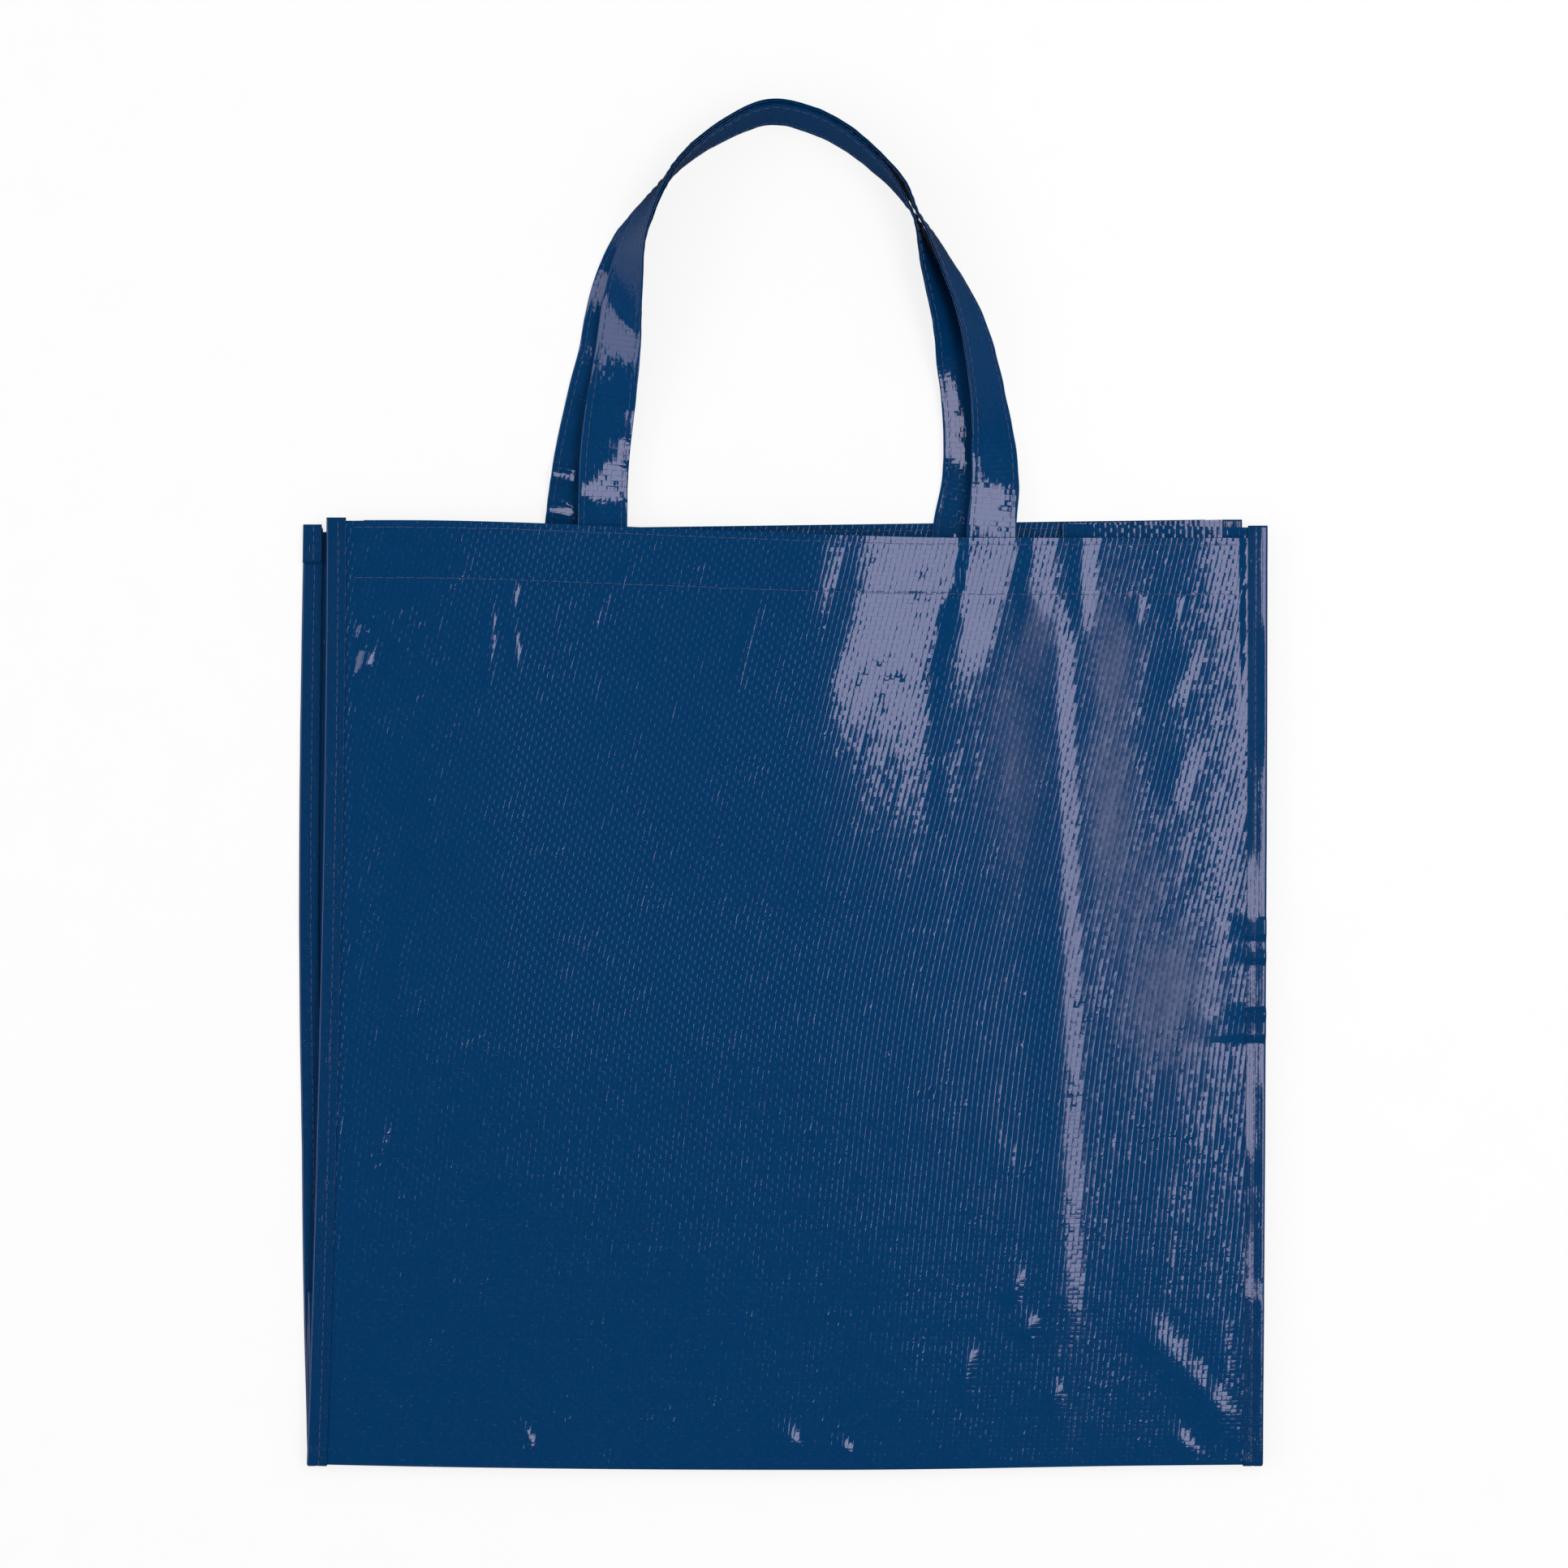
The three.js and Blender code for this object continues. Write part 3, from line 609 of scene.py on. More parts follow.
def bodySheet():
    grid = bodyGrid
    x = np.linspace(-rawEdge, rawEdge, grid["columns"])[None]
    stitched = np.concatenate([height - row + np.array(grid["atStitch"]) for row in hemStitch["rows"]])
    v = np.concatenate([np.linspace(0, height, grid["rows"]), stitched, grid["atFold"]])
    v = np.unique(v)[::-1, None]
    hem = np.linspace(hemEnd, height, grid["hemRows"])[:, None]
    tuck = np.linspace(0, tuckDepth, grid["tuckRows"])[:, None]
    frontHem = frontPoint(x, hem, pitch)
    front = frontPoint(x, v)
    tuckFront = tuckPoint(x, tuck, layers["tuckFront"])
    tuckBack = tuckPoint(x, tuck[::-1], layers["tuckBack"])
    back = backPoint(x, np.linspace(0, height, grid["backRows"])[:, None])
    backHem = backPoint(x, hem[::-1], pitch)
    points = np.concatenate([
        frontHem, turnOver(frontHem[-1], front[0], 1, grid["hemTurn"]),
        front, turnOver(front[-1], tuckFront[0], -1, grid["foldTurn"]),
        tuckFront, turnOver(tuckFront[-1], tuckBack[0], 1, grid["tuckTurn"]),
        tuckBack, turnOver(tuckBack[-1], back[0], -1, grid["foldTurn"]),
        back, turnOver(back[-1], backHem[0], 1, grid["hemTurn"]), backHem,
    ])
    down = walkAlong(points[:, points.shape[1] // 2])[:, None]
    bend = weaveLean["bend"]
    over = bend * np.logaddexp(0, (points[..., 1] - weaveLean["above"]) / bend)
    lean = weaveLean["low"] * points[..., 1] + weaveLean["more"] * over
    dull = dullAt(points[..., 0], points[..., 1])
    flat = packed(x + halfWidth - lean, down, dull)
    inSeam = np.abs(x[0, :-1] + x[0, 1:]) / 2 > seamLine - hemInset
    row = np.arange(len(points) - 1)[:, None]
    turnedIn = len(frontHem) + grid["hemTurn"]
    hemCells = (row < turnedIn) | (row > len(points) - turnedIn - 2)
    return clothPiece("body_cloth", points, flat, ~(inSeam[None] & hemCells))


bodyCloth = bodySheet()
bodyCloth.data.materials.append(panelFilm)
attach(bodyCloth, "root")
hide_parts("body_sheet")
print("body cloth", len(bodyCloth.data.polygons), "faces")


# The V-folded sides: how far they fill out or sink as (rise, y), and how far their front edge stands
# above the mouth
sideLook = {
    -1: {"swell": [(-0.9, 60), (0.9, 150), (2.3, 195)], "proud": 0},
    1: {"swell": [(-1.2, 60), (-0.7, 150), (-0.5, 195)], "proud": 5.2},
}
sideGrid = {
    "seam": 4, "flat": 16, "nose": 12, "plain": 60, "hem": 14,
    "aboveTuck": 4, "hemStart": 22, "besideFold": 1.5, "weaveStart": 20,
}


def mainLeaf(side, u, v):
    front = u <= halfDepth
    reach = np.where(front, u, depth - u)
    share = np.clip(u / depth, 0, 1)
    edge = side * halfWidth
    look = sideLook[side]
    y = v + v / height * ((frontMouth(edge) + look["proud"]) * (1 - share) + backMouth(edge) * share)
    x = settle(side * (seamLine - reach), y, share)
    belowHem = smooth(v, hemEnd - bag["hemApproach"], hemEnd - hemInset)
    hemRoom = pitch * smooth(reach, 0, hemInset) * belowHem
    swell = lineAt(look["swell"], y) * smooth(reach, 0, bag["puffReach"]) * smooth(y, 0, bag["puffReach"])
    top = level("gussetFront") + swell - 2 * hemRoom
    bottom = level("gussetBack") + hemRoom
    nose = bag["noseLength"]
    rounding = np.clip((reach - (halfDepth - nose)) / nose, 0, 1)
    gape = (top - bottom) / 2 * np.sqrt(1 - rounding ** 2)
    return packed(x, y, (top + bottom) / 2 + np.where(front, gape, -gape))


def tuckLeaf(side, u, v):
    front = u <= halfDepth
    reach = np.where(front, u, depth - u)
    angle = np.clip((reach - tuckDepth) / bag["tuckFold"], 0, 1) * math.pi / 2
    low, high = level("tuckGussetBack"), level("tuckGussetFront")
    radius = (high - low) / 2
    y = np.minimum(reach, tuckDepth) + radius * np.sin(angle)
    x = settle(side * (seamLine - v), y, np.clip(u / depth, 0, 1))
    gape = radius * np.cos(angle)
    return packed(x, y, (low + high) / 2 + np.where(front, gape, -gape))


def sideSheet(name, side):
    grid = sideGrid
    nose = bag["noseLength"]
    fromSeam = np.unique(np.concatenate([
        np.linspace(seamLine - rawEdge, 0, grid["seam"]), np.linspace(0, halfDepth - nose, grid["flat"]),
        halfDepth - nose * (1 - np.sin(np.linspace(0, math.pi / 2, grid["nose"]))),
        [tuckDepth, halfDepth - grid["besideFold"]],
    ]))
    u = np.concatenate([fromSeam, depth - fromSeam[-2::-1]])[None]
    v = np.concatenate([
        fromSeam, np.linspace(halfDepth + grid["aboveTuck"], hemEnd - bag["hemApproach"], grid["plain"]),
        np.linspace(hemEnd - grid["hemStart"], height, grid["hem"]),
    ])[:, None]
    reach = np.minimum(u, depth - u)
    share = np.where(v > reach, 1, np.where(v < reach, 0, 0.5))[..., None]
    points = share * mainLeaf(side, u, v) + (1 - share) * tuckLeaf(side, u, v)
    flat = packed(u, v) + grid["weaveStart"]
    middle = (u[0, :-1] + u[0, 1:]) / 2
    upper = (v[:-1, 0] + v[1:, 0]) / 2
    inCorner = (upper[:, None] < 0) & ((middle < hemInset) | (middle > depth - hemInset))
    return clothPiece(name, points, flat, ~inCorner)


for name, node, side in [("left_side_cloth", "left_gusset", -1), ("right_side_cloth", "right_gusset", 1)]:
    gusset = sideSheet(name, side)
    gusset.data.materials.append(gussetFilm)
    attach(gusset, "root")
    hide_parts(node)
    print(name, len(gusset.data.polygons), "faces")


# The bound seams
bindingLook = {
    "stitchInset": 5.0, "dimple": 0.16, "spread": 0.8, "stitch": 4.4, "even": 0.6,
    "waver": 0.0525, "waverSpan": (60, 60), "ripple": {-1: 0.07, 1: 0.03}, "rippleSpan": (9, 14),
    "frontFrom": 6, "weaveStart": 3,
}
tapeGrid = {
    "panel": 330, "tuck": 30, "tail": 12, "turn": 13, "leaf": 8, "fold": 7, "stitchColumn": 5,
    "lip": 0.12, "lipEnd": 0.5, "besideFold": 0.6,
}
# How the right tape rolls outwards on its way up the front, as height and rise for each mm across
tapeRoll = [
    (0, -0.06), (75, -0.06), (79, 0.02), (85, 0.02), (90, -0.03), (108, -0.03), (116, -0.06), (142, -0.06),
    (152, 0), (178, 0), (184, 0.03), (202, 0.03), (210, -0.008), (246, -0.008), (262, 0.03), (284, 0.03),
    (294, -0.03), (328, -0.04), (338, -0.07), (392, -0.07), (404, -0.045), (460, -0.035),
]
# How far its middle stands up, as height and rise
tapeCrown = [
    (0, 0), (90, 0), (95, -0.1), (105, -0.1), (112, 0), (144, 0), (154, -0.15), (174, -0.15), (184, 0),
    (285, 0), (296, 0.2), (326, 0.2), (338, 0), (392, 0), (408, 0.3), (460, 0.3),
]
fins = ["frontFin", "tuckFrontFin", "tuckBackFin", "backFin"]


def bindingRoute(side):
    edge = side * halfWidth
    front, tuckFront, tuckBack, back = (level(fin) for fin in fins)
    turn = (front - tuckFront) / 2
    frontTop = height + frontMouth(edge) + bag["rightProud" if side > 0 else "bindingProud"]
    backTop = height + backMouth(edge) + (0 if side > 0 else bag["bindingProud"])
    route = []

    def run(y, z, outY, outZ, share, full=1.0):
        route.extend(np.broadcast(y, z, outY, outZ, share, full))

    def arc(y, z, radius, start, sign, share, full=1.0, flip=1):
        angle = np.radians(start + np.linspace(0, 180, tapeGrid["turn"])[1:-1])
        run(y + flip * radius * np.cos(angle), z + radius * np.sin(angle),
            flip * sign * np.cos(angle), sign * np.sin(angle), share, full)

    down = np.linspace(0, 1, tapeGrid["panel"])
    run(frontTop * (1 - down), front, 0, 1, 0)
    arc(0, (front + tuckFront) / 2, turn, 90, 1, 0)
    tuck = np.linspace(0, 1, tapeGrid["tuck"])
    run(tuckDepth * tuck, tuckFront, 0, -1, 0.5 * tuck)
    arc(tuckDepth, (tuckFront + tuckBack) / 2, turn, 90, -1, 0.5, flip=-1)
    run(tuckDepth * (1 - tuck), tuckBack, 0, 1, 0.5 + 0.5 * tuck)
    arc(0, (tuckBack + back) / 2, turn, 90, 1, 1)
    run(backTop * down, back, 0, -1, 1)
    if side < 0:
        full = bag["tailFullness"]
        tailTurn = bindingFold + cloth / 2
        top = backTop + bindingFold
        run(top, back, 0, -1, 1, full)
        arc(top, back + tailTurn, tailTurn, 270, 1, 1, full)
        tail = top - bag["bindingTail"] * np.linspace(0, 1, tapeGrid["tail"])
        run(tail, back + 2 * tailTurn, 0, 1, 1, full)
    return np.array(route)


def bindingSheet(name, side):
    y, z, outY, outZ, share, full = bindingRoute(side).T[..., None]
    look, grid = bindingLook, tapeGrid
    walk = walkOn(np.hypot(np.diff(y[:, 0]), np.diff(z[:, 0])))[:, None]
    reach = tapeWidth - bag["bindingInset"]
    leaf = np.linspace(reach - grid["lipEnd"], bindingFold + grid["besideFold"], grid["leaf"])
    leaf = np.concatenate([[reach, reach - grid["lip"]], leaf])
    inset = np.concatenate([leaf, [bindingFold] * grid["fold"], leaf[::-1]])
    quarter = np.full(len(leaf), 90)
    angles = np.radians(np.concatenate([-quarter, np.linspace(-90, 90, grid["fold"]), quarter]))
    radius = bindingFold * full
    flap = np.maximum(inset - bindingFold, 0)[None]
    across = cloth / 2 + radius + flap - radius * np.cos(angles)[None]
    pull = near(across, look["stitchInset"], look["spread"])
    pull = pull * dimples(walk, look["stitch"], look["even"])
    waver = look["waver"] * waves(walk + 0 * across, across * 0, look["waverSpan"], 11 + side)
    ripple = look["ripple"][side] * waves(walk + 0 * across, across, look["rippleSpan"], 17 + side)
    lift = radius * np.sin(angles)[None] * (1 - look["dimple"] * pull / bindingFold)
    lift = lift + ripple * np.sign(lift) * flap / reach
    x = side * (halfWidth - across + waver)
    above = y + outY * lift
    placed = settle(x, above, share)
    front = ((share == 0) & (outZ > 0)) * smooth(y, 0, look["frontFrom"])
    fromMiddle = 2 * across / tapeWidth - 1
    roll = np.interp(y, *zip(*tapeRoll)) * fromMiddle * tapeWidth / 2
    crown = np.interp(y, *zip(*tapeCrown)) * (1 - fromMiddle ** 2)
    sway = front * (puckerAt(placed, y) + (crown + roll) * (side > 0))
    points = packed(placed, above, z + outZ * lift + sway)
    section = walkOn(np.hypot(np.diff(across[0]), np.diff(lift[0])))
    piece = clothPiece(name, points, packed(section[None], walk) + look["weaveStart"])
    thick = piece.modifiers.new("tape thickness", "SOLIDIFY")
    thick.thickness = cloth * mm
    thick.offset = 0
    seams = []
    column = grid["stitchColumn"]
    for sign, column in [(1, len(inset) - 1 - column), (-1, column)]:  # stitches on each face of the fin
        out = np.hstack([0 * y, outY * sign, outZ * sign])
        seams.append((points[:, column] + out * cloth / 2, out))
    return piece, seams, walk[-1, 0]


bindingThread = {"radius": 0.2, "stitch": bindingLook["stitch"], "gap": 0.7, "first": 1.5, "seed": 21}
tapes = [("left_binding_tape", "left_binding", -1), ("right_binding_tape", "right_binding", 1)]
for name, node, side in tapes:
    tape, seams, length = bindingSheet(name, side)
    tape.data.materials.append(bindingFilm)
    stitches = threadPiece(name + "_stitches", seams, bindingThread)
    stitches.data.materials.append(sewingThread)
    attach(tape, "root")
    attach(stitches, "root")
    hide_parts(node)
    length * mm
    print(name, round(length), "mm long")


# The handles: where the back one goes, across in half spacings, up in rises, and its turn in degrees
backArch = [
    (-0.945, 0.188, 0), (-0.821, 0.447, 8), (-0.771, 0.57, 25), (-0.7, 0.676, 45), (-0.656, 0.718, 55),
    (-0.58, 0.775, 70), (-0.512, 0.817, 82), (-0.43, 0.866, 90), (-0.236, 0.936, 99), (0.03, 0.989, 107),
    (0.26, 0.968, 108), (0.43, 0.925, 105), (0.6, 0.858, 99), (0.689, 0.81, 93), (0.775, 0.748, 85),
    (0.813, 0.705, 77), (0.862, 0.635, 63), (0.966, 0.495, 40), (1.04, 0.319, 10), (1.05, 0.13, 0),
]
# The front one lies on it: shares of the offset of their ends left across and off the face, and further turn
frontOverBack = [
    (0.77, 1, 0), (0.55, 1.04, 16), (0.6, 0.8, 14), (0.66, 0.65, 12), (0.6, 0.45, 8),
    (0.44, 0.2, 2), (0.22, 0.03, 0), (0.08, -0.02, 0), (0.06, 0, 0), (0.06, 0, 0),
    (0.06, 0, 0), (0.06, 0.04, 0), (0.06, 0.2, -4), (0.04, 0.26, 0), (0.02, 0.05, 0),
    (0.02, 0.3, 4), (-0.07, 0.68, 11), (-0.32, 0.95, 18), (-0.58, 0.91, 34), (-0.83, 0.87, 22),
]
strapLook = {
    "stitchInset": 2.7, "dimple": 0.14, "spread": 0.7, "stitch": 4.8, "even": 0.6, "sunk": 1.8, "lowest": 0.3,
    "wrinkle": 0.2, "wrinkleSpan": (30, 15), "sway": 0.5, "swaySpan": (50, 42), "freeWithin": 12,
    "pleat": 0.15, "pleatSpan": (30, 9), "pleatPatch": (40, 60), "pleatFull": 0.5, "skew": 0.35,
    "stretch": 0.008, "stretchSpan": (26, 26), "weaveStart": 5, "threadSeat": 0.4,
}
strapGrid = {"rows": 15, "lap": 5, "face": 19, "bend": 7, "lip": 0.3, "lipLift": 0.2, "restRows": 13}
# Where each strap is twisted and curled over its width: distance from its left end, or back from its right
# end, reach, degrees, and the rise of its middle
strapTwists = {
    "front_strap": [
        (44, 6, -13, 0), (55, 5, -9, 0.9), (68, 6, -9, 1.0), (83, 6, -14, 0.9), (130, 12, 0, -0.8),
        (-60, 10, -6, 0.9), (-45, 5, -5, 0), (-26, 6, 5, 0),
    ],
    "back_strap": [(34, 4, -13, 0), (51, 5, -13, 0), (112, 9, 12, 0), (-105, 10, -9, 0), (-62, 8, 4, 0)],
}

strapPitch = cloth + bag["strapGap"]
strapThickness = 3 * strapPitch + cloth
backHandleX = backShift + bag["backHandleShift"]
backSewnZ = level(0) + pitch + cloth / 2 + bag["layerGap"] + strapThickness / 2
frontSeat = level("front") + bag["puff"] - pitch - cloth / 2
frontSewnZ = frontSeat - bag["layerGap"] - strapThickness / 2
frontEndZ = frontSewnZ - strapLook["sunk"]  # the panel's folds press its ends down


def strapFrames(places, turns, between):
    guide = np.concatenate([2 * places[:1] - places[1:2], places, 2 * places[-1:] - places[-2:-1]])
    k = np.linspace(0, len(places) - 1, (len(places) - 1) * between + 1)
    cell = np.minimum(k.astype(int), len(places) - 2)
    t = (k - cell)[:, None]
    before, first, last, after = (guide[cell + i] for i in range(4))
    gapA, gapB, gapC = (np.sqrt(np.linalg.norm(q - p, axis=1, keepdims=True))
                        for p, q in [(before, first), (first, last), (last, after)])
    leave = gapB * ((first - before) / gapA - (last - before) / (gapA + gapB) + (last - first) / gapB)
    arrive = gapB * ((last - first) / gapB - (after - first) / (gapB + gapC) + (after - last) / gapC)
    square = -3 * first + 3 * last - 2 * leave - arrive
    cube = 2 * first - 2 * last + leave + arrive
    place = first + leave * t + square * t ** 2 + cube * t ** 3
    along = unit(leave + 2 * square * t + 3 * cube * t ** 2)
    turn = np.interp(k, np.arange(len(places)), turns)
    inward = unit(np.cross(along, [0, 0, 1]))
    angle = np.radians(turn)[:, None]
    across = inward * np.cos(angle) + np.array([0, 0, 1]) * np.sin(angle)
    across = unit(across - along * np.sum(across * along, 1, keepdims=True))
    return place, turn, across, np.cross(across, along)


def withEnds(free, turns, left, right, z):
    below = np.array([bag["handleSewn"], bag["handleSewn"] / 2, 0])
    start = packed(left, height - below, z)
    end = packed(right, height - below[::-1], z)
    return np.concatenate([start, free, end]), np.concatenate([[0] * 3, turns, [0] * 3])


def handleRoutes():
    spacing = bag["handleSpacing"] / 2
    across, rise, turn = np.array(backArch).T
    z = bag["handleLay"] + strapThickness / 2 + bag["strapWidth"] / 2 * np.sin(np.radians(turn))
    free = packed(backHandleX + across * spacing, height + rise * bag["handleRise"], z)
    back = withEnds(free, turn, backHandleX - spacing, backHandleX + spacing, backSewnZ)
    place, turns, side, face = (part[3:-3] for part in strapFrames(*back, 1))
    slide, off, further = np.array(frontOverBack).T[:, :, None]
    touching = strapThickness + bag["layerGap"]
    free = place - side * backHandleX * slide + face * (touching + (frontSewnZ - backSewnZ - touching) * off)
    front = withEnds(free, turns + further[:, 0], -spacing, spacing, frontEndZ)
    return front, back


def strapSection():
    outer, inner = 1.5 * strapPitch, 0.5 * strapPitch
    edge = bag["strapWidth"] / 2 - cloth / 2
    lipRadius = strapGrid["lip"]
    lap = np.linspace(bag["strapLap"] - edge, edge - lipRadius, strapGrid["lap"])
    face = np.linspace(outer - edge, edge - lipRadius, strapGrid["face"])
    lip = np.radians([-45, 0, 45])
    lipAcross = edge - lipRadius + lipRadius * np.cos(lip)
    lipOff = strapGrid["lipLift"] * np.sin(-lip)
    lipMiddle = (outer + inner) / 2
    bend = np.radians(np.linspace(270, 90, strapGrid["bend"])[1:-1])
    across = np.concatenate([lap, lipAcross, face[::-1], outer - edge + outer * np.cos(bend),
                             face, lipAcross, lap[::-1]])
    off = np.concatenate([0 * lap - inner, lipOff - lipMiddle, 0 * face - outer, outer * np.sin(bend),
                          0 * face + outer, lipOff + lipMiddle, 0 * lap + inner])
    return across, off


def handleSheet(name, route, seed):
    look = strapLook
    place, _, side, face = strapFrames(*route, strapGrid["rows"])
    walk = walkAlong(place)
    further, curl = 0, 0
    for middle, reach, degrees, rise in strapTwists[name]:
        share = near(walk, middle % walk[-1], reach)[:, None]
        further = further + np.radians(degrees) * share
        curl = curl + rise * share
    cos, sin = np.cos(further), np.sin(further)
    side, face = side * cos + face * sin, face * cos - side * sin
    across, off = strapSection()
    edge = bag["strapWidth"] / 2
    stitchLine = edge - look["stitchInset"]
    pull = near(np.abs(across), stitchLine, look["spread"])[None]
    pull = pull * dimples(walk, look["stitch"], look["even"])[:, None]
    outside = (np.abs(off) > strapPitch)[None]
    lift = off[None] - np.sign(off)[None] * outside * look["dimple"] * pull
    fromEnd = np.minimum(walk, walk[-1] - walk)[:, None]
    free = smooth(fromEnd, bag["handleSewn"], bag["handleSewn"] + look["freeWithin"])
    wide, down = np.broadcast_arrays(across[None], walk[:, None])
    ripple = waves(wide, down, look["wrinkleSpan"], seed)
    ripple = ripple + look["sway"] * waves(wide, down, look["swaySpan"], seed + 1)
    skew = down + look["skew"] * wide
    patch = smooth(waves(wide, skew, look["pleatPatch"], seed + 4), 0, look["pleatFull"])
    pleats = waves(0 * skew, skew, look["pleatSpan"], seed + 3) * patch
    lift = lift + (look["wrinkle"] * ripple + look["pleat"] * pleats) * free
    lift = lift + curl * (0.5 - (across[None] / edge) ** 2)
    stretch = 1 + look["stretch"] * waves(down, 0 * down, look["stretchSpan"], seed + 2) * free
    points = place[:, None] + side[:, None] * (wide * stretch)[..., None] + face[:, None] * lift[..., None]
    rest = np.maximum(look["lowest"] - points[..., 2].min(axis=1), 0)  # rests on the floor
    ease = np.hanning(strapGrid["restRows"])
    points[..., 2] += np.maximum(rest, np.convolve(rest, ease / ease.sum(), "same"))[:, None]
    section = walkOn(np.hypot(np.diff(across), np.diff(off)))
    piece = clothPiece(name, points, packed(section[None], walk[:, None]) + look["weaveStart"])
    normals = unit(np.cross(np.gradient(points, axis=0), np.gradient(points, axis=1)))
    rows = []
    for top in (-1, 1):
        for line in (-stitchLine, stitchLine):
            column = np.argmin(np.abs(across - line) + edge * (off * top < strapPitch))
            out = normals[:, column] * np.sign(np.sum(normals[:, column] * face * top, 1, keepdims=True))
            rows.append((points[:, column] + out * cloth * look["threadSeat"], out))
    return piece, rows, walk[-1], section[-1]


strapThread = {"radius": 0.18, "stitch": strapLook["stitch"], "gap": 0.8, "first": 2.0, "seed": 33}
straps = [("front_strap", "front_handle", 51), ("back_strap", "back_handle", 61)]
for (name, node, seed), route in zip(straps, handleRoutes()):
    strap, rows, length, cut = handleSheet(name, route, seed)
    strap.data.materials.append(strapFilm)
    stitches = threadPiece(name + "_stitches", rows, strapThread)
    stitches.data.materials.append(sewingThread)
    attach(strap, "root")
    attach(stitches, "root")
    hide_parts(node)
    cut * mm
    length * mm
    print(name, round(length), "mm long from a strip", round(cut), "mm wide")


# Two rows of stitches along each mouth hem
hemThread = {
    "radius": 0.2, "stitch": hemStitch["stitch"], "gap": 0.7, "first": 2.15, "seed": 9,
    "inset": 1, "samples": 400, "probe": 0.5, "frontSeat": 0.06, "backSeat": 0.1,
}


def hemRows(look):
    x = np.linspace(look["inset"] - seamLine, seamLine - look["inset"], look["samples"])
    rows = []
    for down in hemStitch["rows"]:
        v = np.full_like(x, height - down)
        line = frontPoint(x, v)
        beside = frontPoint(x, v - look["probe"]) - line
        out = unit(np.cross(beside, np.gradient(line, axis=0)))
        out = out * np.sign(out[:, 2:3])
        rows.append((line + out * look["frontSeat"], out))
        rows.append((backPoint(x, v, pitch + look["backSeat"]), np.tile([0, 0, 1], (len(x), 1))))
    return rows


hemStitches = threadPiece("hem_stitches", hemRows(hemThread), hemThread)
hemStitches.data.materials.append(sewingThread)
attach(hemStitches, "root")
print("stitches done")


# Floor, light and camera
studio = {
    "cameraHeight": 2.5, "aboveFloor": 0.01, "sensor": 36, "frameWidth": 0.749, "frameMiddle": (0, 0.0033),
    "boxNear": 0.36, "boxWidth": 0.64, "boxSpan": (-0.455, 1.1), "boxHeight": 1.6, "boxPower": 14.1,
    "sidePlace": (-1.6, 0.1, 1.1), "sideTurn": -55.6, "sideSize": (0.7, 1.8), "sidePower": 9.0,
    "surround": 0.63, "overhead": 0.01, "horizon": (0.05, 0.05, 0.06, 1), "horizonSpan": (0.08, 0.4),
    "floorGlow": 0.8, "floorPale": (0.87, 0.91), "floorMirrored": (0.32, 0.03, 0.05),
    "floorReach": 6, "floorDrop": 0.0004, "floorRough": 0.9, "floorGrain": 40.0, "mirrorEdge": (0.07, 0.12),
}

reach = studio["floorReach"]
corners = [(-reach, -reach, 0), (reach, -reach, 0), (reach, reach, 0), (-reach, reach, 0)]
floorMesh = bpy.data.meshes.new("floor")
floorMesh.from_pydata(corners, [], [(0, 1, 2, 3)])
floor = linked("floor", floorMesh)
floor.location.z = -studio["floorDrop"]
floor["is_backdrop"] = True

paleFloor, tree, paper = newMaterial("pale_floor")
paper.inputs["Roughness"].default_value = studio["floorRough"]
start = Wire(tree)
place = start.node("ShaderNodeTexCoord", out="Object")
pale = place.noise(studio["floorGrain"]).mix(*[(shade, shade, shade, 1) for shade in studio["floorPale"]])
left, inside, right = studio["floorMirrored"]  # as the film mirrors it left of the handles, inside and right
inner, outer = studio["mirrorEdge"]
dim = 0
for begin, end, first, last in [(-outer, -inner, left, inside), (inner, outer, 0.0, right - inside)]:
    step = start.node("ShaderNodeMapRange", {"interpolation_type": "SMOOTHSTEP"},
                      {0: place.axis("X"), 1: begin, 2: end, 3: first, 4: last})
    dim = step + dim
mirrored = start.node("ShaderNodeLightPath", out="Is Glossy Ray")
shown = mirrored.mix(pale, dim.mix((0, 0, 0, 1), (1, 1, 1, 1)))
shown.into(paper, "Base Color")
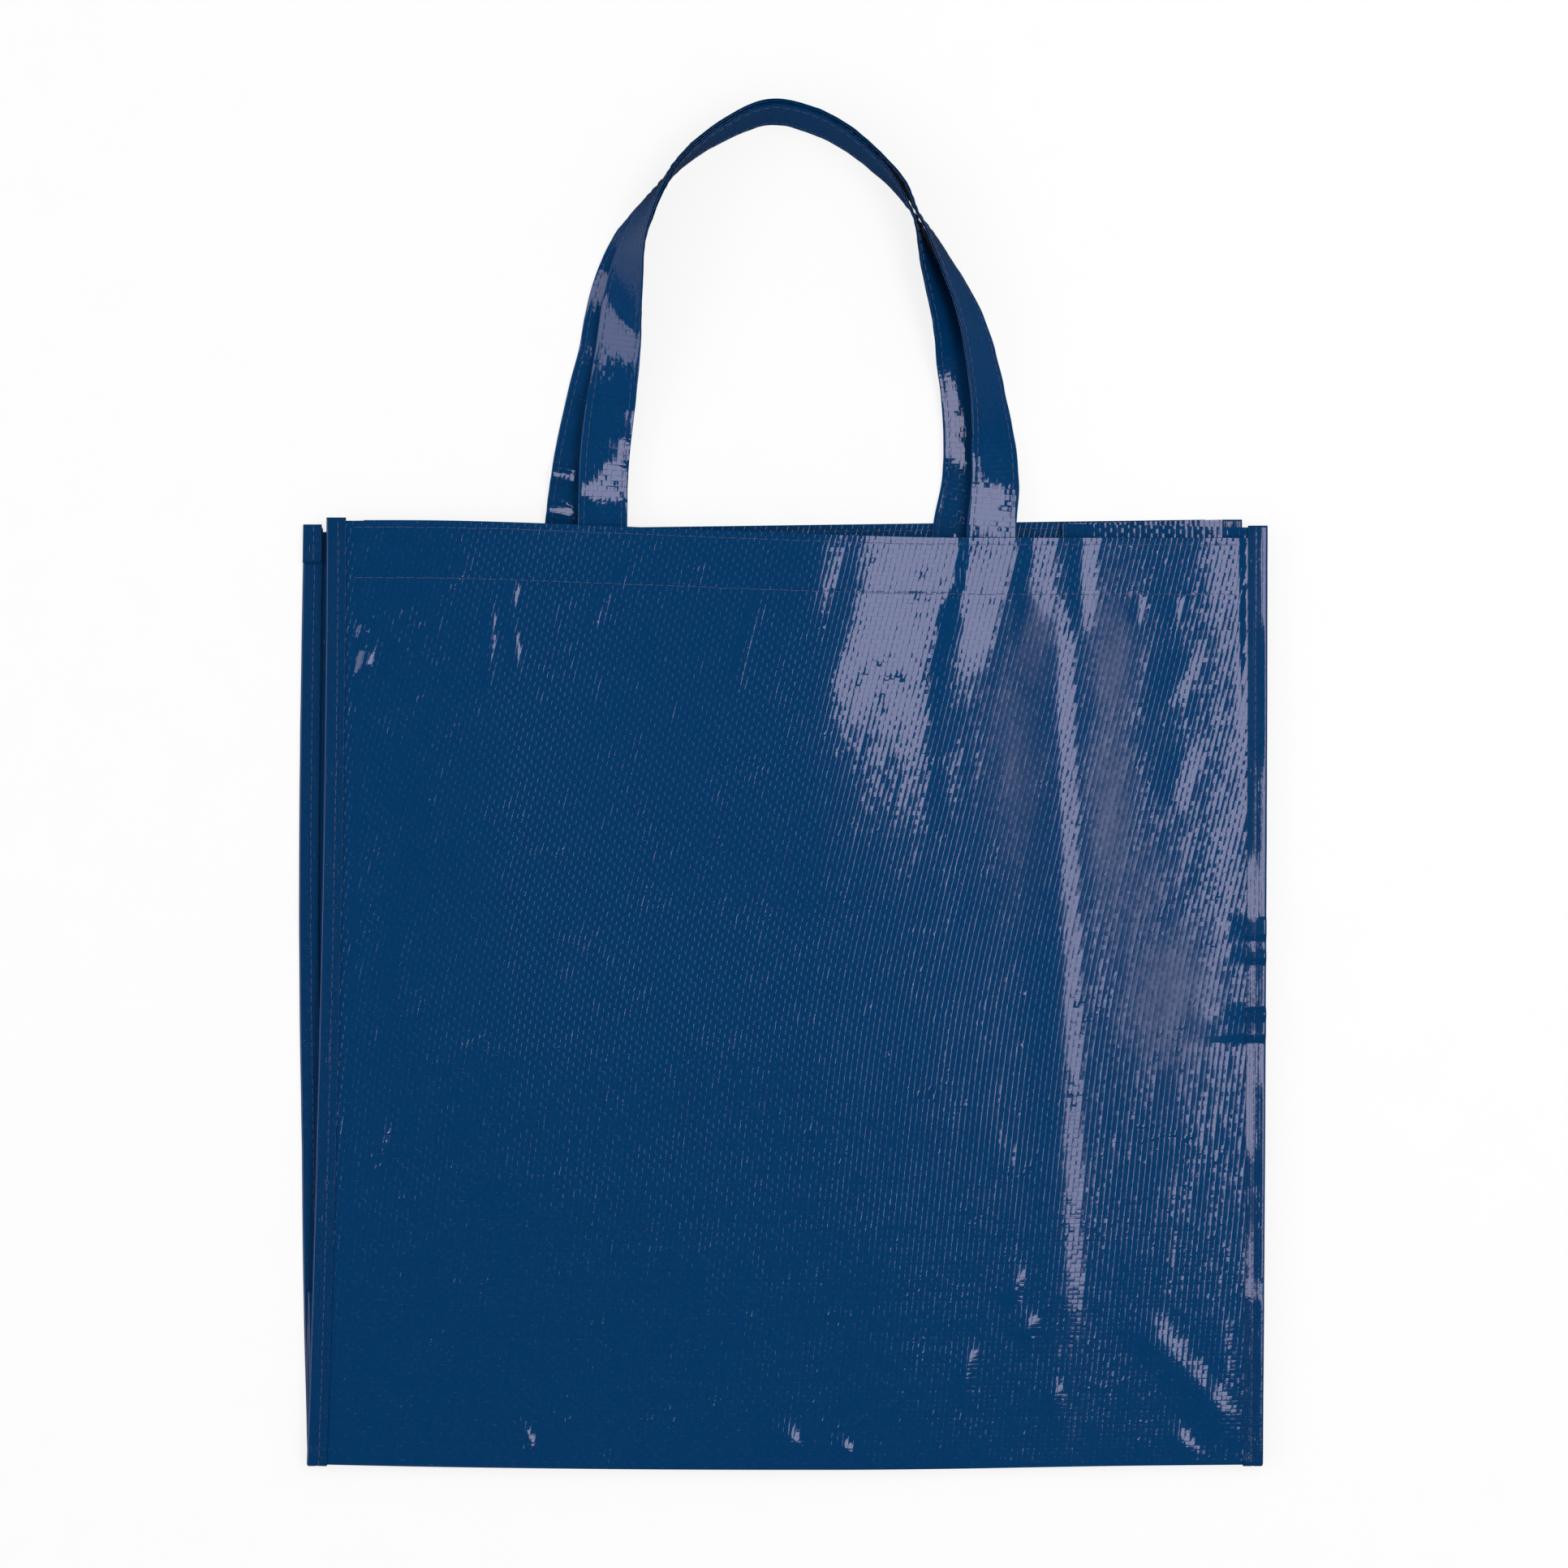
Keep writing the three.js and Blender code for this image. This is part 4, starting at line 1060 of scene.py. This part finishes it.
seen = start.node("ShaderNodeLightPath", out="Is Camera Ray")
glow = start.node("ShaderNodeEmission", None, {"Color": (1, 1, 1, 1), "Strength": 1.0})
bright = start.node("ShaderNodeMixShader", None,
                    {0: seen * studio["floorGlow"], 1: Wire(tree, paper.outputs[0]), 2: glow})
bright.into(tree.nodes["Material Output"], "Surface")
floorMesh.materials.append(paleFloor)

world = bpy.data.worlds.new("studio")
bpy.context.scene.world = world
world.use_nodes = True
tree = world.node_tree
start = Wire(tree)
camera = start.node("ShaderNodeLightPath", out="Is Camera Ray")
mirror = start.node("ShaderNodeLightPath", out="Is Glossy Ray")
rising = start.node("ShaderNodeTexCoord", out="Generated").axis("Z")
low, high = studio["horizonSpan"]
horizon = start.node("ShaderNodeMapRange", None, {0: rising, 1: low, 2: high, 3: 1.0, 4: 0.0})
dim = horizon.mix((studio["overhead"],) * 3 + (1,), studio["horizon"])
room = mirror.mix((studio["surround"],) * 3 + (1,), dim)
camera.mix(room, (1, 1, 1, 1)).into(tree.nodes["Background"], "Color")


def lamp(name, place, turn, size, power):
    light = bpy.data.lights.new(name, "AREA")
    light.shape = "RECTANGLE"
    light.size, light.size_y = size
    light.energy = power
    piece = linked(name, light)
    piece.location = place
    piece.rotation_euler.y = math.radians(turn)
    piece.visible_camera = False


boxLow, boxHigh = studio["boxSpan"]
boxMiddle = (studio["boxNear"] + studio["boxWidth"] / 2, (boxLow + boxHigh) / 2, studio["boxHeight"])
lamp("right softbox", boxMiddle, 0, (studio["boxWidth"], boxHigh - boxLow), studio["boxPower"])
lamp("left strip", studio["sidePlace"], studio["sideTurn"], studio["sideSize"], studio["sidePower"])

cameraData = bpy.data.cameras.new("camera")
cameraData.sensor_width = studio["sensor"]
cameraData.lens = studio["sensor"] * studio["cameraHeight"] / studio["frameWidth"]
camera = linked("camera", cameraData)
camera.location = (*studio["frameMiddle"], studio["cameraHeight"] + studio["aboveFloor"])
bpy.context.scene.camera = camera
bpy.context.scene.view_settings.view_transform = "Standard"

low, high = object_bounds()
print("scene ready")
